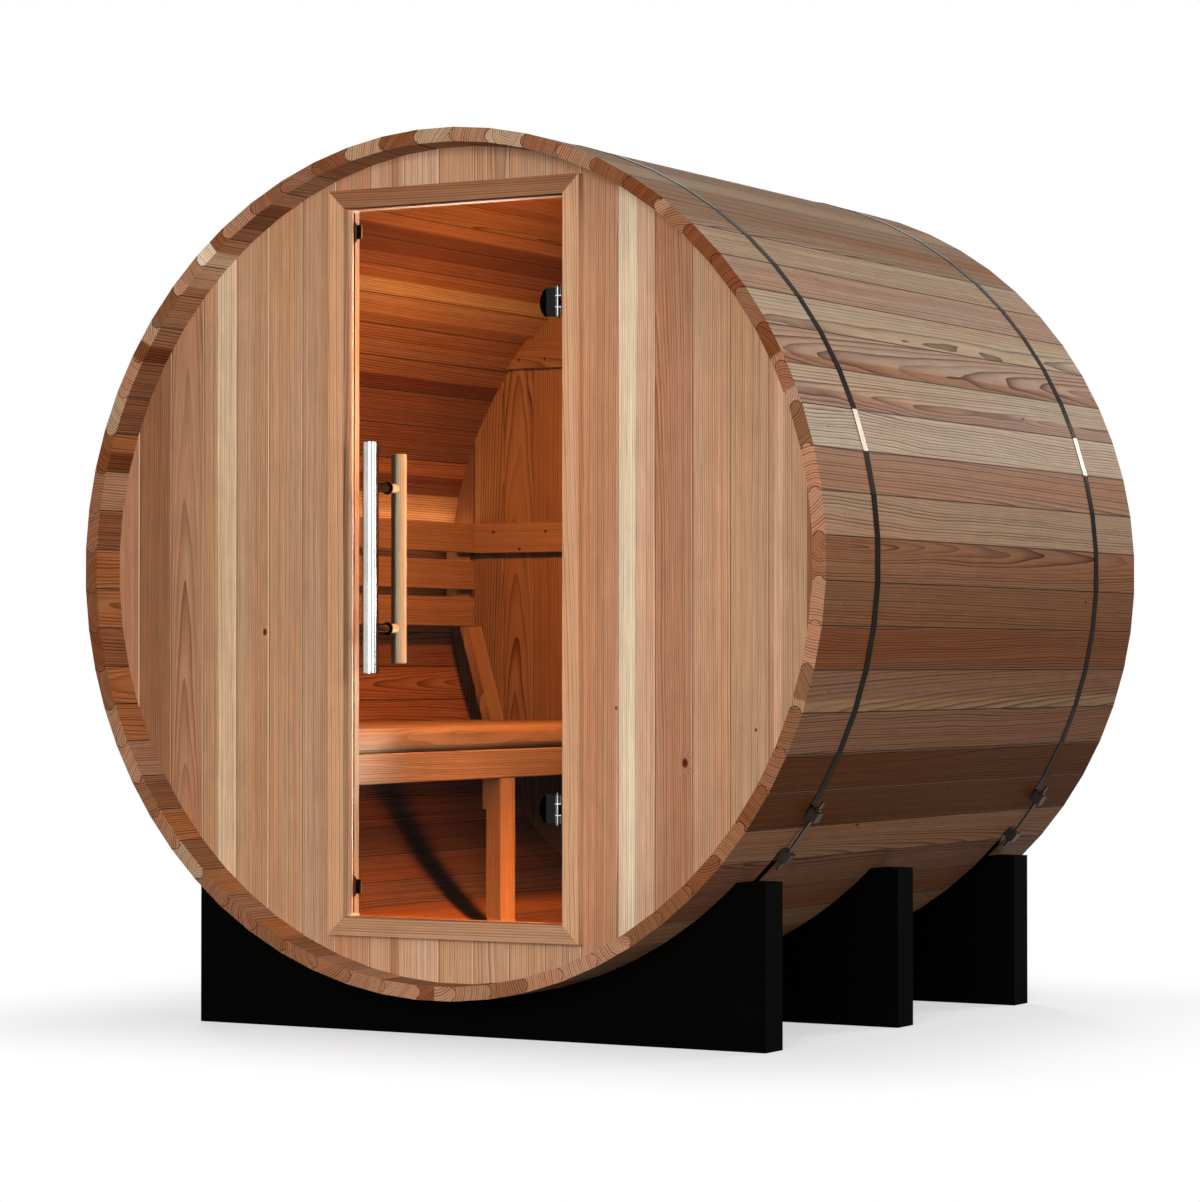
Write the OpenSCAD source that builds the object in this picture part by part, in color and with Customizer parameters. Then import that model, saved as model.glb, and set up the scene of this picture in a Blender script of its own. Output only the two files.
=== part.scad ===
// Barrel sauna: a lying barrel of bead-and-cove staves on three cradles,
// with a board wall at each end, a glass door in the front wall and a bench inside.
// Millimetres. +X right, +Y from the door into the cabin, +Z up, origin on the ground
// at the middle of the barrel.

/* [Barrel] */
// Outside diameter over the stave corners
barrel_d = 1828.8; // [1700:10:2000]
// Length of the staves
barrel_l = 1616; // [1500:10:2000]
// Staves in one eighth of the barrel
staves_in_arc = 8; // [7:1:9]
// Thickness of a stave
stave_t = 30; // [26:1:38]
// Flat lip left on each side of the bead on a stave's edge
bead_lip = 3; // [2:0.5:4]
// How far the bead stands out of the stave's edge
bead_h = 9; // [7:0.5:9]
// Gap left between two staves
stave_gap = 0.3; // [0.2:0.05:0.4]
// Depth of the croze, the groove that holds an end wall
croze_depth = 6; // [4:0.5:8]
// Timber left under the lowest stave
ground_clear = 86; // [75:1:120]

/* [End walls] */
// Thickness of the wall boards
wall_t = 38; // [30:1:42]
// Face width of one wall board
board_w = 87.3; // [82:0.1:92]
// Depth of the V cut along each board edge
board_v = 2.5; // [1:0.5:4]
// Thickness of a board's tongue
tongue_t = 9; // [7:0.5:11]
// Reach of a board's tongue
tongue_l = 8; // [6:0.5:9]
// Shift of the back wall's boards to the right of the front wall's
back_shift = 18; // [0:1:20]
// Gap between two wall boards
board_gap = 0.3; // [0.2:0.05:0.5]
// Distance from the stave ends to the front wall
front_recess = 84; // [75:1:110]
// Distance from the stave ends to the back wall
back_recess = 110; // [75:1:130]

/* [Cradles] */
// Width of a cradle
cradle_w = 1407; // [1300:1:1500]
// Height of a cradle at its ends
cradle_h = 345; // [300:1:380]
// Thickness of a cradle along the barrel
cradle_t = 76; // [60:1:90]
// Distance from the stave ends to the outer cradles
cradle_end = 145; // [130:1:200]
// Gap between a cradle and the stave corners
cradle_gap = 0.3; // [0.2:0.1:0.5]

/* [Hoops] */
// Width of a hoop band
hoop_w = 22; // [18:1:25]
// Thickness of a hoop band
hoop_t = 1.2; // [0.8:0.1:2]
// Angle of the hoop's opening from the top, clockwise from the front
hoop_open_angle = 127.3; // [110:0.1:140]
// Angle between the two blocks of the hoop's opening
hoop_open_span = 6.6; // [6:0.1:9]
// Size of a tensioner block, along and out of the barrel
block_size = 24; // [18:1:26]
// Diameter of the tensioner rod
hoop_rod_d = 8; // [6:1:10]
// Width of a nut on the rod, over its corners
nut_d = 15; // [13:1:18]
// Thickness of a nut on the rod
nut_t = 6.5; // [5:0.5:8]
// How far the rod stands out past its nuts
rod_end = 16; // [6:1:25]

/* [Door opening] */
// Clear width between the jambs
clear_w = 544.5; // [480:0.5:620]
// Thickness of a jamb
jamb_t = 33; // [28:1:36]
// Thickness of the head and the sill
head_t = 30; // [26:1:32]
// How far the door frame stands into the cabin past the wall
frame_proud = 6; // [0:1:12]
// Face width of the door trim
trim_w = 39; // [36:1:45]
// Thickness of the door trim
trim_t = 20; // [16:1:25]
// Distance between the trim's upper corners and the staves
top_corner_clear = 19; // [10:1:40]
// Distance between the trim's lower corners and the staves
low_corner_clear = 34; // [10:1:60]

/* [Door] */
// Thickness of the glass
glass_t = 8; // [6:1:10]
// Gap between the glass and the frame all round
glass_gap = 8; // [6:0.5:10]
// Depth of the glass face behind the face of the trim
glass_inset = 27; // [25:0.5:30]
// Distance of the hinge pin in front of the glass
pin_out = 11; // [10:0.5:12]
// Distance of the hinge pin from the jamb
pin_side = 20; // [18:0.5:22]
// Radius of a hinge knuckle
knuckle_r = 5.5; // [5:0.5:6.5]
// Radius of a hinge pin
pin_r = 2.5; // [2:0.5:3]
// Play of a hinge pin in its knuckle
pin_play = 0.06; // [0.03:0.01:0.1]
// Height of a hinge plate
hinge_h = 59.5; // [50:0.5:70]
// Width of a hinge's outer plate
hinge_w = 27; // [20:1:30]
// Thickness of a hinge plate
hinge_t = 3; // [2:0.5:3.5]
// Radius of the rounded end of a hinge's inner plate
hinge_round = 40; // [32:1:45]
// How far the inner plate reaches past the outer one
hinge_reach = 21; // [10:1:25]
// Distance from the glass's ends to the middle of a hinge
hinge_end = 223; // [150:1:280]
// Height of the door handle and hinges above the opening's middle
hardware_raise = 8; // [0:1:12]

/* [Handle] */
// Distance of the handle from the glass's free edge
handle_side = 83; // [60:1:100]
// Diameter of the outside tube
tube_d = 34; // [26:1:38]
// Length of the outside tube
tube_l = 494; // [450:1:520]
// Diameter of the inside wooden grip
grip_d = 33; // [26:1:36]
// Length of the inside wooden grip
grip_l = 450; // [400:1:480]
// Distance from the glass to the axis of the outside tube
tube_out = 59; // [50:1:65]
// Distance from the glass to the axis of the inside grip
grip_out = 46; // [42:1:60]
// Distance between the two posts of the handle
post_pitch = 300; // [280:1:320]
// Diameter of a handle post
post_d = 20; // [16:1:22]
// How far the round plate behind the glass stands out round a post
rose_lip = 3.5; // [2:0.5:6]

/* [Catches] */
// Height of a catch's body
catch_h = 46; // [36:1:50]
// How far a catch's body stands out of the jamb
catch_out = 6; // [4:1:10]
// Depth of a catch's body behind the glass
catch_d = 13; // [10:1:20]
// Distance from the ends of the jamb to the middle of a catch
catch_end = 56; // [40:1:90]
// Gap between the glass and a catch
catch_gap = 3; // [2.5:0.5:6]

/* [Bench] */
// Height of the seat above the barrel axis, a negative number
seat_z = -350; // [-380:5:-320]
// Distance of the bench's front face from the barrel axis
bench_front = 275; // [260:5:320]
// Thickness of the seat boards
seat_t = 38; // [32:1:40]
// Height of the rounded front board
nosing_h = 55; // [50:1:60]
// Width of the rounded front board
nosing_w = 90; // [80:1:100]
// Number of flat seat boards behind the rounded one
seat_boards = 5; // [4:1:6]
// Gap between two seat boards
seat_gap = 4; // [3:0.5:6]
// Width of the bench framing timber
frame_w = 64; // [60:1:70]
// Thickness of the bench framing timber
frame_t = 38; // [32:1:40]
// Height of the board under the nosing
fascia_h = 66; // [60:1:70]
// Place of the leg towards the back from the middle of the cabin
leg_shift = -45; // [-100:1:100]
// Thickness of the cleat on the leg that carries the middle bearer
cleat_t = 10; // [8:1:20]
// Height of the cleat on the leg
cleat_h = 90; // [60:1:100]
// Clearance between the bench and the walls and the door frame
bench_gap = 0.3; // [0.2:0.1:0.5]

/* [Backrest] */
// Height of a backrest slat
slat_h = 74; // [66:1:78]
// Thickness of a backrest slat
slat_t = 20; // [18:1:25]
// Distance between the tops of two slats
slat_pitch = 93; // [88:1:100]
// Height of the top slat's upper edge above the barrel axis
slat_top = 145; // [130:1:160]
// Distance of the slats' faces from the staves at axis height
slat_out = 81; // [70:1:90]
// Gap between the slats' ends and the end walls
slat_end_gap = 12; // [4:1:20]
// Thickness of the uprights behind the slats
upright_t = 31; // [26:1:33]
// Thickness of the slanted backrest legs
rest_leg_t = 24; // [20:1:28]
// How far a slanted leg comes forward on its way down to the seat
rest_leg_run = 68; // [50:1:80]
// Height of the light strip behind the top slat
strip_h = 14; // [10:1:18]
// Depth of the light strip
strip_d = 22; // [16:1:26]
// Top edge of the upper back wall batten above the barrel axis
batten_top = 607; // [580:1:640]

/* [Hidden] */

// Small clearance between pieces that seat on each other
seat = 0.3;
// Reach of a cutting block past what it cuts
over = 5;

// Staves
stave_count = 8 * staves_in_arc;
step_a = 360 / stave_count;
half_a = step_a / 2;
corner_r = barrel_d / 2;
flat_r = corner_r * cos(half_a);
inner_flat_r = flat_r - stave_t;
mid_r = (flat_r + inner_flat_r) / 2 / cos(half_a);
bead_chord = stave_t - 2 * bead_lip;
bead_r = (bead_chord * bead_chord / 4 + bead_h * bead_h) / (2 * bead_h);
bead_inset = bead_r - bead_h;
axis_z = ground_clear + corner_r;
front_y = -barrel_l / 2;
cabin_r = inner_flat_r - seat;

// Cradles
cradle_y = barrel_l / 2 - cradle_end - cradle_t / 2;

// Hoops
hoop_y = cradle_y - cradle_t / 2 - block_size / 2 - seat;
hoop_in_r = flat_r + seat;
hoop_out_r = hoop_in_r + hoop_t;

// Walls
wall_r = inner_flat_r + croze_depth - seat;
front_wall_y = front_y + front_recess;
front_wall_in = front_wall_y + wall_t;
back_wall_y = barrel_l / 2 - back_recess;
back_wall_in = back_wall_y - wall_t;

// Door opening
open_w = clear_w + 2 * jamb_t + 2 * seat;
door_boards = round(open_w / board_w);
side_boards = ceil((wall_r - open_w / 2) / board_w);
trim_out_w = clear_w + 2 * trim_w;
trim_top_z = sqrt(pow(inner_flat_r - top_corner_clear, 2) - pow(trim_out_w / 2, 2));
trim_low_z = sqrt(pow(inner_flat_r - low_corner_clear, 2) - pow(trim_out_w / 2, 2));
trim_out_h = trim_top_z + trim_low_z;
clear_h = trim_out_h - 2 * trim_w;
open_mid = (trim_top_z - trim_low_z) / 2;
open_z = axis_z + open_mid;
open_h = clear_h + 2 * head_t + 2 * seat;
frame_d = wall_t + frame_proud;
trim_y = front_wall_y - trim_t;

// Door
glass_y = trim_y + glass_inset;
glass_back = glass_y + glass_t;
glass_w = clear_w - 2 * glass_gap;
glass_h = clear_h - 2 * glass_gap;
pin_x = clear_w / 2 - pin_side;
pin_y = glass_y - pin_out;
hardware_z = open_z + hardware_raise;
hinge_zs = [hardware_z - glass_h / 2 + hinge_end, hardware_z + glass_h / 2 - hinge_end];
knuckle_l = hinge_h / 3;
plate_x = pin_x - knuckle_r - hinge_w;
bolt_x = plate_x + hinge_w / 2;
bolt_r = 5;
hole_play = 1;
flange_r = knuckle_r + 1.5;
flange_t = 1.5;
finial_r = 4;

// Handle
handle_x = handle_side - glass_w / 2;
rose_r = post_d / 2 + rose_lip;
rose_t = 3;
stud_r = 5;
stud_in = 8;
bar_edge = 2;

// Catches
catch_zs = [hardware_z - clear_h / 2 + catch_end, hardware_z + clear_h / 2 - catch_end];
catch_ear = 2;

// Bench
bench_y = front_wall_in + frame_proud + bench_gap;
bench_len = back_wall_in - bench_gap - bench_y;
leg_y = (back_wall_in + front_wall_in) / 2 + leg_shift;
seat_top = axis_z + seat_z;
nosing_bottom = seat_top - nosing_h;
nosing_r = nosing_h / 3;
nosing_back = -bench_front - nosing_w;
wood_edge = 4;
seat_back_x = -round_x(seat_z - seat_t);
seat_board_w = (nosing_back - seat_back_x) / seat_boards - seat_gap;
leg_x = -bench_front - frame_t;
leg_top = nosing_bottom - fascia_h - 2 * seat;
bearer_top = seat_top - seat_t - seat;

// Backrest
slat_x = inner_flat_r - slat_out;
slat_y = front_wall_in + slat_end_gap;
slat_len = back_wall_in - slat_end_gap - slat_y;
slat_count = 3;
rest_bottom = axis_z + slat_top - (slat_count - 1) * slat_pitch - slat_h;
upright_ys = [front_wall_in + bench_gap, back_wall_in - bench_gap - frame_w];
upright_top = axis_z + slat_top - strip_h - wood_edge;
upright_x = -slat_x - slat_t - seat - upright_t;

// Half width of the cabin's round at height z above the barrel axis
function round_x(z) = sqrt(cabin_r * cabin_r - z * z);

// Number of the last wall board that reaches out to x from a board centred on x = 0
function boards_to(x) = ceil(x / board_w - 0.5);

// Place a child at angle a round the barrel axis, clockwise from the top as seen from the door
module round_axis(a) {
    translate([0, 0, axis_z]) rotate([0, a, 0]) children();
}

// Extrude a drawing of the XZ plane along +Y from y to y + length
module along_y(y, length) {
    translate([0, y + length, 0]) rotate([90, 0, 0]) linear_extrude(length) children();
}

// Box from its low corner and its size
module block(low, size) {
    translate(low) cube(size);
}

// Solid round cylinder about the barrel axis
module barrel_core(r, y, length) {
    translate([0, y, axis_z]) rotate([-90, 0, 0]) cylinder(r = r, h = length, $fn = 96);
}

// Rectangle from x0 to x1 and z0 to z1 with round corners
module round_rect(x0, x1, z0, z1, r) {
    translate([x0 + r, z0]) square([x1 - x0 - 2 * r, z1 - z0]);
    translate([x0, z0 + r]) square([x1 - x0, z1 - z0 - 2 * r]);
    for (x = [x0 + r, x1 - r], z = [z0 + r, z1 - r])
        translate([x, z]) circle(r, $fn = 24);
}

// Round bar along Y from y0 to y1
module bar_y(x, y0, y1, z, r) {
    translate([x, y0, z]) rotate([-90, 0, 0]) cylinder(r = r, h = y1 - y0, $fn = 32);
}

// Upright round bar from z0 to z1
module bar_z(x, y, z0, z1, r) {
    translate([x, y, z0]) cylinder(r = r, h = z1 - z0, $fn = 32);
}

// Upright round bar with bevelled ends, centred on z
module bevelled_bar(x, y, z, length, r) {
    h = length / 2;
    translate([x, y, z]) rotate_extrude($fn = 48)
        polygon([[0, -h], [r - bar_edge, -h], [r, bar_edge - h], [r, h - bar_edge], [r - bar_edge, h], [0, h]]);
}

// Cross-section of one stave at the top of the barrel, about the barrel axis
module stave_profile() {
    edge = stave_gap / 2 / cos(half_a);
    xo = flat_r * tan(half_a) - edge;
    xi = inner_flat_r * tan(half_a) - edge;
    difference() {
        union() {
            polygon([[-xo, flat_r], [xo, flat_r], [xi, inner_flat_r], [-xi, inner_flat_r]]);
            rotate(half_a) translate([bead_inset, mid_r]) circle(bead_r, $fn = 48);
        }
        rotate(-half_a) translate([bead_inset, mid_r]) circle(bead_r + stave_gap, $fn = 48);
    }
}

// One stave at the top of the barrel with its two croze grooves
module stave() {
    w = 2 * flat_r * tan(half_a);
    difference() {
        along_y(front_y, barrel_l) stave_profile();
        for (y = [front_wall_y, back_wall_in])
            block([-w, y - seat, inner_flat_r - over], [2 * w, wall_t + 2 * seat, croze_depth + over]);
    }
}

// One eighth of the barrel, with its middle at angle a from the top
module stave_arc(a) {
    color("peru")
        for (k = [0:staves_in_arc - 1])
            round_axis(a + (k - staves_in_arc / 2) * step_a) stave();
}

module staves_top() { stave_arc(0); }
module staves_upper_right() { stave_arc(45); }
module staves_right() { stave_arc(90); }
module staves_lower_right() { stave_arc(135); }
module staves_bottom() { stave_arc(180); }
module staves_lower_left() { stave_arc(225); }
module staves_left() { stave_arc(270); }
module staves_upper_left() { stave_arc(315); }

// Plan of one wall board of width w: V edges, tongue on the right, groove on the left
module board_plan(w) {
    h = w / 2 - board_gap / 2;
    m = wall_t / 2;
    t0 = m - tongue_t / 2;
    t1 = m + tongue_t / 2;
    groove = tongue_l + board_gap - h;
    polygon([
        [-h, board_v], [board_v - h, 0], [h - board_v, 0], [h, board_v],
        [h, t0], [h + tongue_l, t0], [h + tongue_l, t1], [h, t1],
        [h, wall_t - board_v], [h - board_v, wall_t], [board_v - h, wall_t], [-h, wall_t - board_v],
        [-h, t1 + board_gap], [groove, t1 + board_gap], [groove, t0 - board_gap], [-h, t0 - board_gap]
    ]);
}

// Wall of n boards of width w laid from x to the right, from z0 to z1 above the barrel axis,
// cut to the round of the croze
module round_wall(x, n, w, y, z0 = -corner_r, z1 = corner_r) {
    color("burlywood")
        for (k = [0:n - 1])
            intersection() {
                translate([x + (k + 0.5) * w, y, axis_z + z0]) linear_extrude(z1 - z0) board_plan(w);
                barrel_core(wall_r, y - over, wall_t + 2 * over);
            }
}

// The board next to the door has no tongue beside the opening
module front_wall_left() {
    difference() {
        round_wall(-open_w / 2 - side_boards * board_w, side_boards, board_w, front_wall_y);
        block(
            [-open_w / 2 - board_gap / 2, front_wall_y - over, open_z - open_h / 2],
            [open_w, wall_t + 2 * over, open_h]);
    }
}

module front_wall_right() {
    round_wall(open_w / 2, side_boards, board_w, front_wall_y);
}

module front_wall_over_door() {
    round_wall(-open_w / 2, door_boards, open_w / door_boards, front_wall_y, z0 = open_mid + open_h / 2);
}

module front_wall_under_door() {
    round_wall(-open_w / 2, door_boards, open_w / door_boards, front_wall_y, z1 = open_mid - open_h / 2);
}

module back_wall() {
    k0 = boards_to(wall_r + back_shift);
    k1 = boards_to(wall_r - back_shift);
    round_wall(back_shift - (k0 + 0.5) * board_w, k0 + k1 + 1, board_w, back_wall_in);
}

// Cradle plank centred on y
module cradle(y) {
    color([0.07, 0.07, 0.07])
        difference() {
            block([-cradle_w / 2, y - cradle_t / 2, 0], [cradle_w, cradle_t, cradle_h]);
            barrel_core(corner_r + cradle_gap, y - cradle_t, 2 * cradle_t);
        }
}

module cradle_front() { cradle(-cradle_y); }
module cradle_middle() { cradle(0); }
module cradle_back() { cradle(cradle_y); }

// Point of a flat-sided ring at angle a, for a ring with flats at distance r
function ring_point(a, r) = r / cos(a - step_a * round(a / step_a)) * [sin(a), cos(a)];

// Angles of the band's ends and of the stave corners between them
hoop_a0 = hoop_open_angle + hoop_open_span / 2;
hoop_a1 = hoop_open_angle - hoop_open_span / 2 + 360;
hoop_k0 = ceil((hoop_a0 - half_a) / step_a);
hoop_k1 = floor((hoop_a1 - half_a) / step_a);
hoop_angles = concat([hoop_a0], [for (k = [hoop_k0:hoop_k1]) k * step_a + half_a], [hoop_a1]);

// Band round the barrel that follows the stave flats
module hoop(y) {
    n = len(hoop_angles);
    color("silver")
        translate([0, 0, axis_z])
            along_y(y - hoop_w / 2, hoop_w)
                polygon(concat(
                    [for (a = hoop_angles) ring_point(a, hoop_out_r)],
                    [for (i = [1:n]) ring_point(hoop_angles[n - i], hoop_in_r)]
                ));
}

module hoop_front() { hoop(-hoop_y); }
module hoop_back() { hoop(hoop_y); }

// Two blocks on the ends of the band, drawn together by a rod with a nut at each end
module tensioner(y) {
    block_r = hoop_out_r / cos(half_a) + seat;
    rod_r = block_r + block_size / 2;
    reach = rod_r * sin(hoop_open_span / 2) + block_size / 2;
    rod_l = 2 * (reach + nut_t + rod_end);
    color("silver") {
        for (s = [-1, 1])
            round_axis(hoop_open_angle + s * hoop_open_span / 2)
                block([-block_size / 2, y - block_size / 2, block_r], [block_size, block_size, block_size]);
        round_axis(hoop_open_angle)
            translate([-rod_l / 2, y, rod_r]) rotate([0, 90, 0]) {
                cylinder(d = hoop_rod_d, h = rod_l, $fn = 32);
                for (x = [rod_end, rod_l - rod_end - nut_t])
                    translate([0, 0, x]) cylinder(d = nut_d, h = nut_t, $fn = 6);
            }
    }
}

module hoop_front_tensioner() { tensioner(-hoop_y); }
module hoop_back_tensioner() { tensioner(hoop_y); }

// Jambs stand between the head and the sill
module door_jamb(x) {
    color("burlywood")
        block([x, front_wall_y, open_z - clear_h / 2], [jamb_t, frame_d, clear_h]);
}

module door_jamb_left() { door_jamb(-clear_w / 2 - jamb_t); }
module door_jamb_right() { door_jamb(clear_w / 2); }

module door_rail(z) {
    w = clear_w + 2 * jamb_t;
    color("burlywood") block([-w / 2, front_wall_y, z], [w, frame_d, head_t]);
}

module door_head() { door_rail(open_z + clear_h / 2); }
module door_sill() { door_rail(open_z - clear_h / 2 - head_t); }

// Mitred trim board: its inner edge lies off from the opening's middle and is 2 * half long
module trim_board(angle, half, off) {
    color("tan")
        translate([0, 0, open_z])
            along_y(trim_y, trim_t)
                rotate(angle)
                    polygon([
                        [-half, off], [half, off],
                        [half + trim_w, off + trim_w], [-half - trim_w, off + trim_w]
                    ]);
}

module door_trim_top() { trim_board(0, clear_w / 2, clear_h / 2); }
module door_trim_bottom() { trim_board(180, clear_w / 2, clear_h / 2); }
module door_trim_left() { trim_board(90, clear_h / 2, clear_w / 2); }
module door_trim_right() { trim_board(-90, clear_h / 2, clear_w / 2); }

module door_glass() {
    color([0.75, 0.85, 0.85, 0.35])
        difference() {
            block([-glass_w / 2, glass_y, open_z - glass_h / 2], [glass_w, glass_t, glass_h]);
            for (s = [-1, 1])
                bar_y(handle_x, glass_y - over, glass_back + over, hardware_z + s * post_pitch / 2, stud_r + hole_play);
            for (z = hinge_zs)
                bar_y(bolt_x, glass_y - over, glass_back + over, z, bolt_r + hole_play);
        }
}

// Fixed half of a hinge: leaf on the jamb, two knuckles with flanges, and the pin
module hinge_frame_leaf(z) {
    leaf_x = clear_w / 2 - hinge_t;
    leaf_d = glass_back - pin_y + knuckle_r;
    color([0.1, 0.1, 0.1]) {
        block([leaf_x, pin_y - knuckle_r, z - hinge_h / 2], [hinge_t, leaf_d, hinge_h]);
        for (s = [-1, 1])
            translate([0, 0, z + s * knuckle_l]) {
                block([pin_x, pin_y - hinge_t / 2, -knuckle_l / 2], [leaf_x - pin_x, hinge_t, knuckle_l]);
                bar_z(pin_x, pin_y, -knuckle_l / 2, knuckle_l / 2, knuckle_r);
                translate([0, 0, -s * (knuckle_l - flange_t) / 2])
                    bar_z(pin_x, pin_y, -flange_t / 2, flange_t / 2, flange_r);
                translate([pin_x, pin_y, s * (knuckle_l + finial_r) / 2]) sphere(r = finial_r, $fn = 24);
            }
        bar_z(pin_x, pin_y, z - knuckle_l, z + knuckle_l, pin_r);
    }
}

module hinge_upper_frame_leaf() { hinge_frame_leaf(hinge_zs[1]); }
module hinge_lower_frame_leaf() { hinge_frame_leaf(hinge_zs[0]); }

// Moving half of a hinge: a plate and a round-ended plate that clamp the glass, and the middle knuckle
module hinge_glass_plate(z) {
    l = knuckle_l - 2 * seat;
    inner_x = plate_x - hinge_reach;
    color([0.03, 0.03, 0.03])
        difference() {
            union() {
                block([plate_x, glass_y - hinge_t, z - hinge_h / 2], [hinge_w, hinge_t, hinge_h]);
                bar_y(bolt_x, glass_y - hinge_t, glass_back + hinge_t, z, bolt_r);
                intersection() {
                    bar_y(inner_x + hinge_round, glass_back, glass_back + hinge_t, z, hinge_round);
                    block([inner_x, glass_back, z - hinge_h / 2], [hinge_reach + hinge_w, hinge_t, hinge_h]);
                }
                block([bolt_x, glass_y - hinge_t, z - l / 2], [pin_x - bolt_x, hinge_t, l]);
                block([pin_x - hinge_t / 2, pin_y, z - l / 2], [hinge_t, pin_out, l]);
                bar_z(pin_x, pin_y, z - l / 2, z + l / 2, knuckle_r);
            }
            bar_z(pin_x, pin_y, z - knuckle_l, z + knuckle_l, pin_r + pin_play);
        }
}

module hinge_upper_glass_plate() { hinge_glass_plate(hinge_zs[1]); }
module hinge_lower_glass_plate() { hinge_glass_plate(hinge_zs[0]); }

module door_handle_tube() {
    y = glass_y - tube_out;
    color("silver") {
        bevelled_bar(handle_x, y, hardware_z, tube_l, tube_d / 2);
        for (s = [-1, 1]) {
            z = hardware_z + s * post_pitch / 2;
            bar_y(handle_x, y, glass_y, z, post_d / 2);
            bar_y(handle_x, y, glass_back + rose_t + stud_in, z, stud_r);
            bar_y(handle_x, glass_back, glass_back + rose_t, z, rose_r);
        }
    }
}

module door_handle_grip() {
    y = glass_back + grip_out;
    post_y = glass_back + rose_t + seat;
    color("tan")
        difference() {
            union() {
                bevelled_bar(handle_x, y, hardware_z, grip_l, grip_d / 2);
                for (s = [-1, 1])
                    bar_y(handle_x, post_y, y, hardware_z + s * post_pitch / 2, post_d / 2);
            }
            for (s = [-1, 1])
                bar_y(handle_x, glass_back, post_y + stud_in, hardware_z + s * post_pitch / 2, stud_r + seat);
        }
}

// Catch on the left jamb behind the glass: a domed body on a thin plate
module door_catch(z) {
    x = -clear_w / 2;
    y = glass_back + catch_gap;
    plate_t = 1.5;
    dome_r = (catch_d * catch_d + catch_h * catch_h / 4) / (2 * catch_d);
    color([0.05, 0.05, 0.05]) {
        translate([x, 0, z]) rotate([90, 0, 90]) {
            linear_extrude(catch_out)
                intersection() {
                    translate([y + catch_d - dome_r, 0]) circle(dome_r, $fn = 64);
                    translate([y, -catch_h / 2]) square([catch_d, catch_h]);
                }
            linear_extrude(plate_t)
                translate([y, -catch_h / 2 - catch_ear]) square([catch_d / 2, catch_h + 2 * catch_ear]);
        }
    }
}

module door_catch_upper() { door_catch(catch_zs[1]); }
module door_catch_lower() { door_catch(catch_zs[0]); }

// Board along the cabin with round edges
module long_board(x0, x1, z0, z1, r, y = bench_y, length = bench_len) {
    along_y(y, length) round_rect(x0, x1, z0, z1, r);
}

module bench_seat() {
    color("peru") {
        long_board(nosing_back, -bench_front, nosing_bottom, seat_top, nosing_r);
        for (k = [0:seat_boards - 1]) {
            x = seat_back_x + k * (seat_board_w + seat_gap);
            long_board(x, x + seat_board_w, seat_top - seat_t, seat_top, wood_edge);
        }
    }
}

module bench_fascia() {
    z = nosing_bottom - seat;
    color("peru") long_board(leg_x, -bench_front, z - fascia_h, z, wood_edge);
}

// Leg cut to the round of the barrel, with the cleat behind it that carries the middle bearer
module bench_legs() {
    cleat_top = bearer_top - frame_w - seat;
    color("peru") {
        intersection() {
            block([leg_x, leg_y - frame_w / 2, ground_clear], [frame_t, frame_w, leg_top - ground_clear]);
            barrel_core(cabin_r, front_y, barrel_l);
        }
        block([leg_x - seat - cleat_t, leg_y - frame_w / 2, cleat_top - cleat_h], [cleat_t, frame_w, cleat_h]);
    }
}

// Cross bearers under the seat boards, from the fascia to the staves, notched for the nosing
module bench_bearers() {
    x1 = leg_x - seat;
    x_notch = nosing_back - seat;
    z_notch = nosing_bottom - seat;
    ys = [bench_y, leg_y - frame_t / 2, bench_y + bench_len - frame_t];
    color("peru")
        for (y = ys)
            intersection() {
                along_y(y, frame_t)
                    polygon([
                        [-corner_r, bearer_top - frame_w], [x1, bearer_top - frame_w], [x1, z_notch],
                        [x_notch, z_notch], [x_notch, bearer_top], [-corner_r, bearer_top]
                    ]);
                barrel_core(cabin_r, front_y, barrel_l);
            }
}

module backrest_slats() {
    color("peru")
        for (k = [0:slat_count - 1]) {
            z = axis_z + slat_top - k * slat_pitch;
            long_board(-slat_x - slat_t, -slat_x, z - slat_h, z, wood_edge, slat_y, slat_len);
        }
}

// Uprights behind the slats
module backrest_uprights() {
    color("peru")
        for (y = upright_ys)
            block([upright_x, y, rest_bottom], [upright_t, frame_w, upright_top - rest_bottom]);
}

// Slanted legs from the lowest slat down to the seat
module backrest_legs() {
    top = rest_bottom - seat;
    bottom = seat_top + seat;
    x = -slat_x - rest_leg_t / 2;
    color("peru")
        for (y = upright_ys)
            along_y(y, frame_w)
                polygon([
                    [x, top], [x + rest_leg_t, top],
                    [x + rest_leg_run + rest_leg_t, bottom], [x + rest_leg_run, bottom]
                ]);
}

// Light strip that lies on the uprights, behind the top slat
module backrest_light_strip() {
    color("orange")
        block(
            [-slat_x - slat_t - seat - strip_d, slat_y, upright_top + seat],
            [strip_d, slat_len, strip_h]);
}

// Batten on the back wall from x0 to x1 with its ends cut to the round
module wall_batten(x0, x1, z1) {
    color("peru")
        intersection() {
            block([x0, back_wall_in - seat - slat_t, axis_z + z1 - slat_h], [x1 - x0, slat_t, slat_h]);
            barrel_core(cabin_r - seat, front_y, barrel_l);
        }
}

module back_wall_batten_upper() { wall_batten(-corner_r, corner_r, batten_top); }

module back_wall_batten_middle() { wall_batten(seat - slat_x, corner_r, slat_top); }

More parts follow.
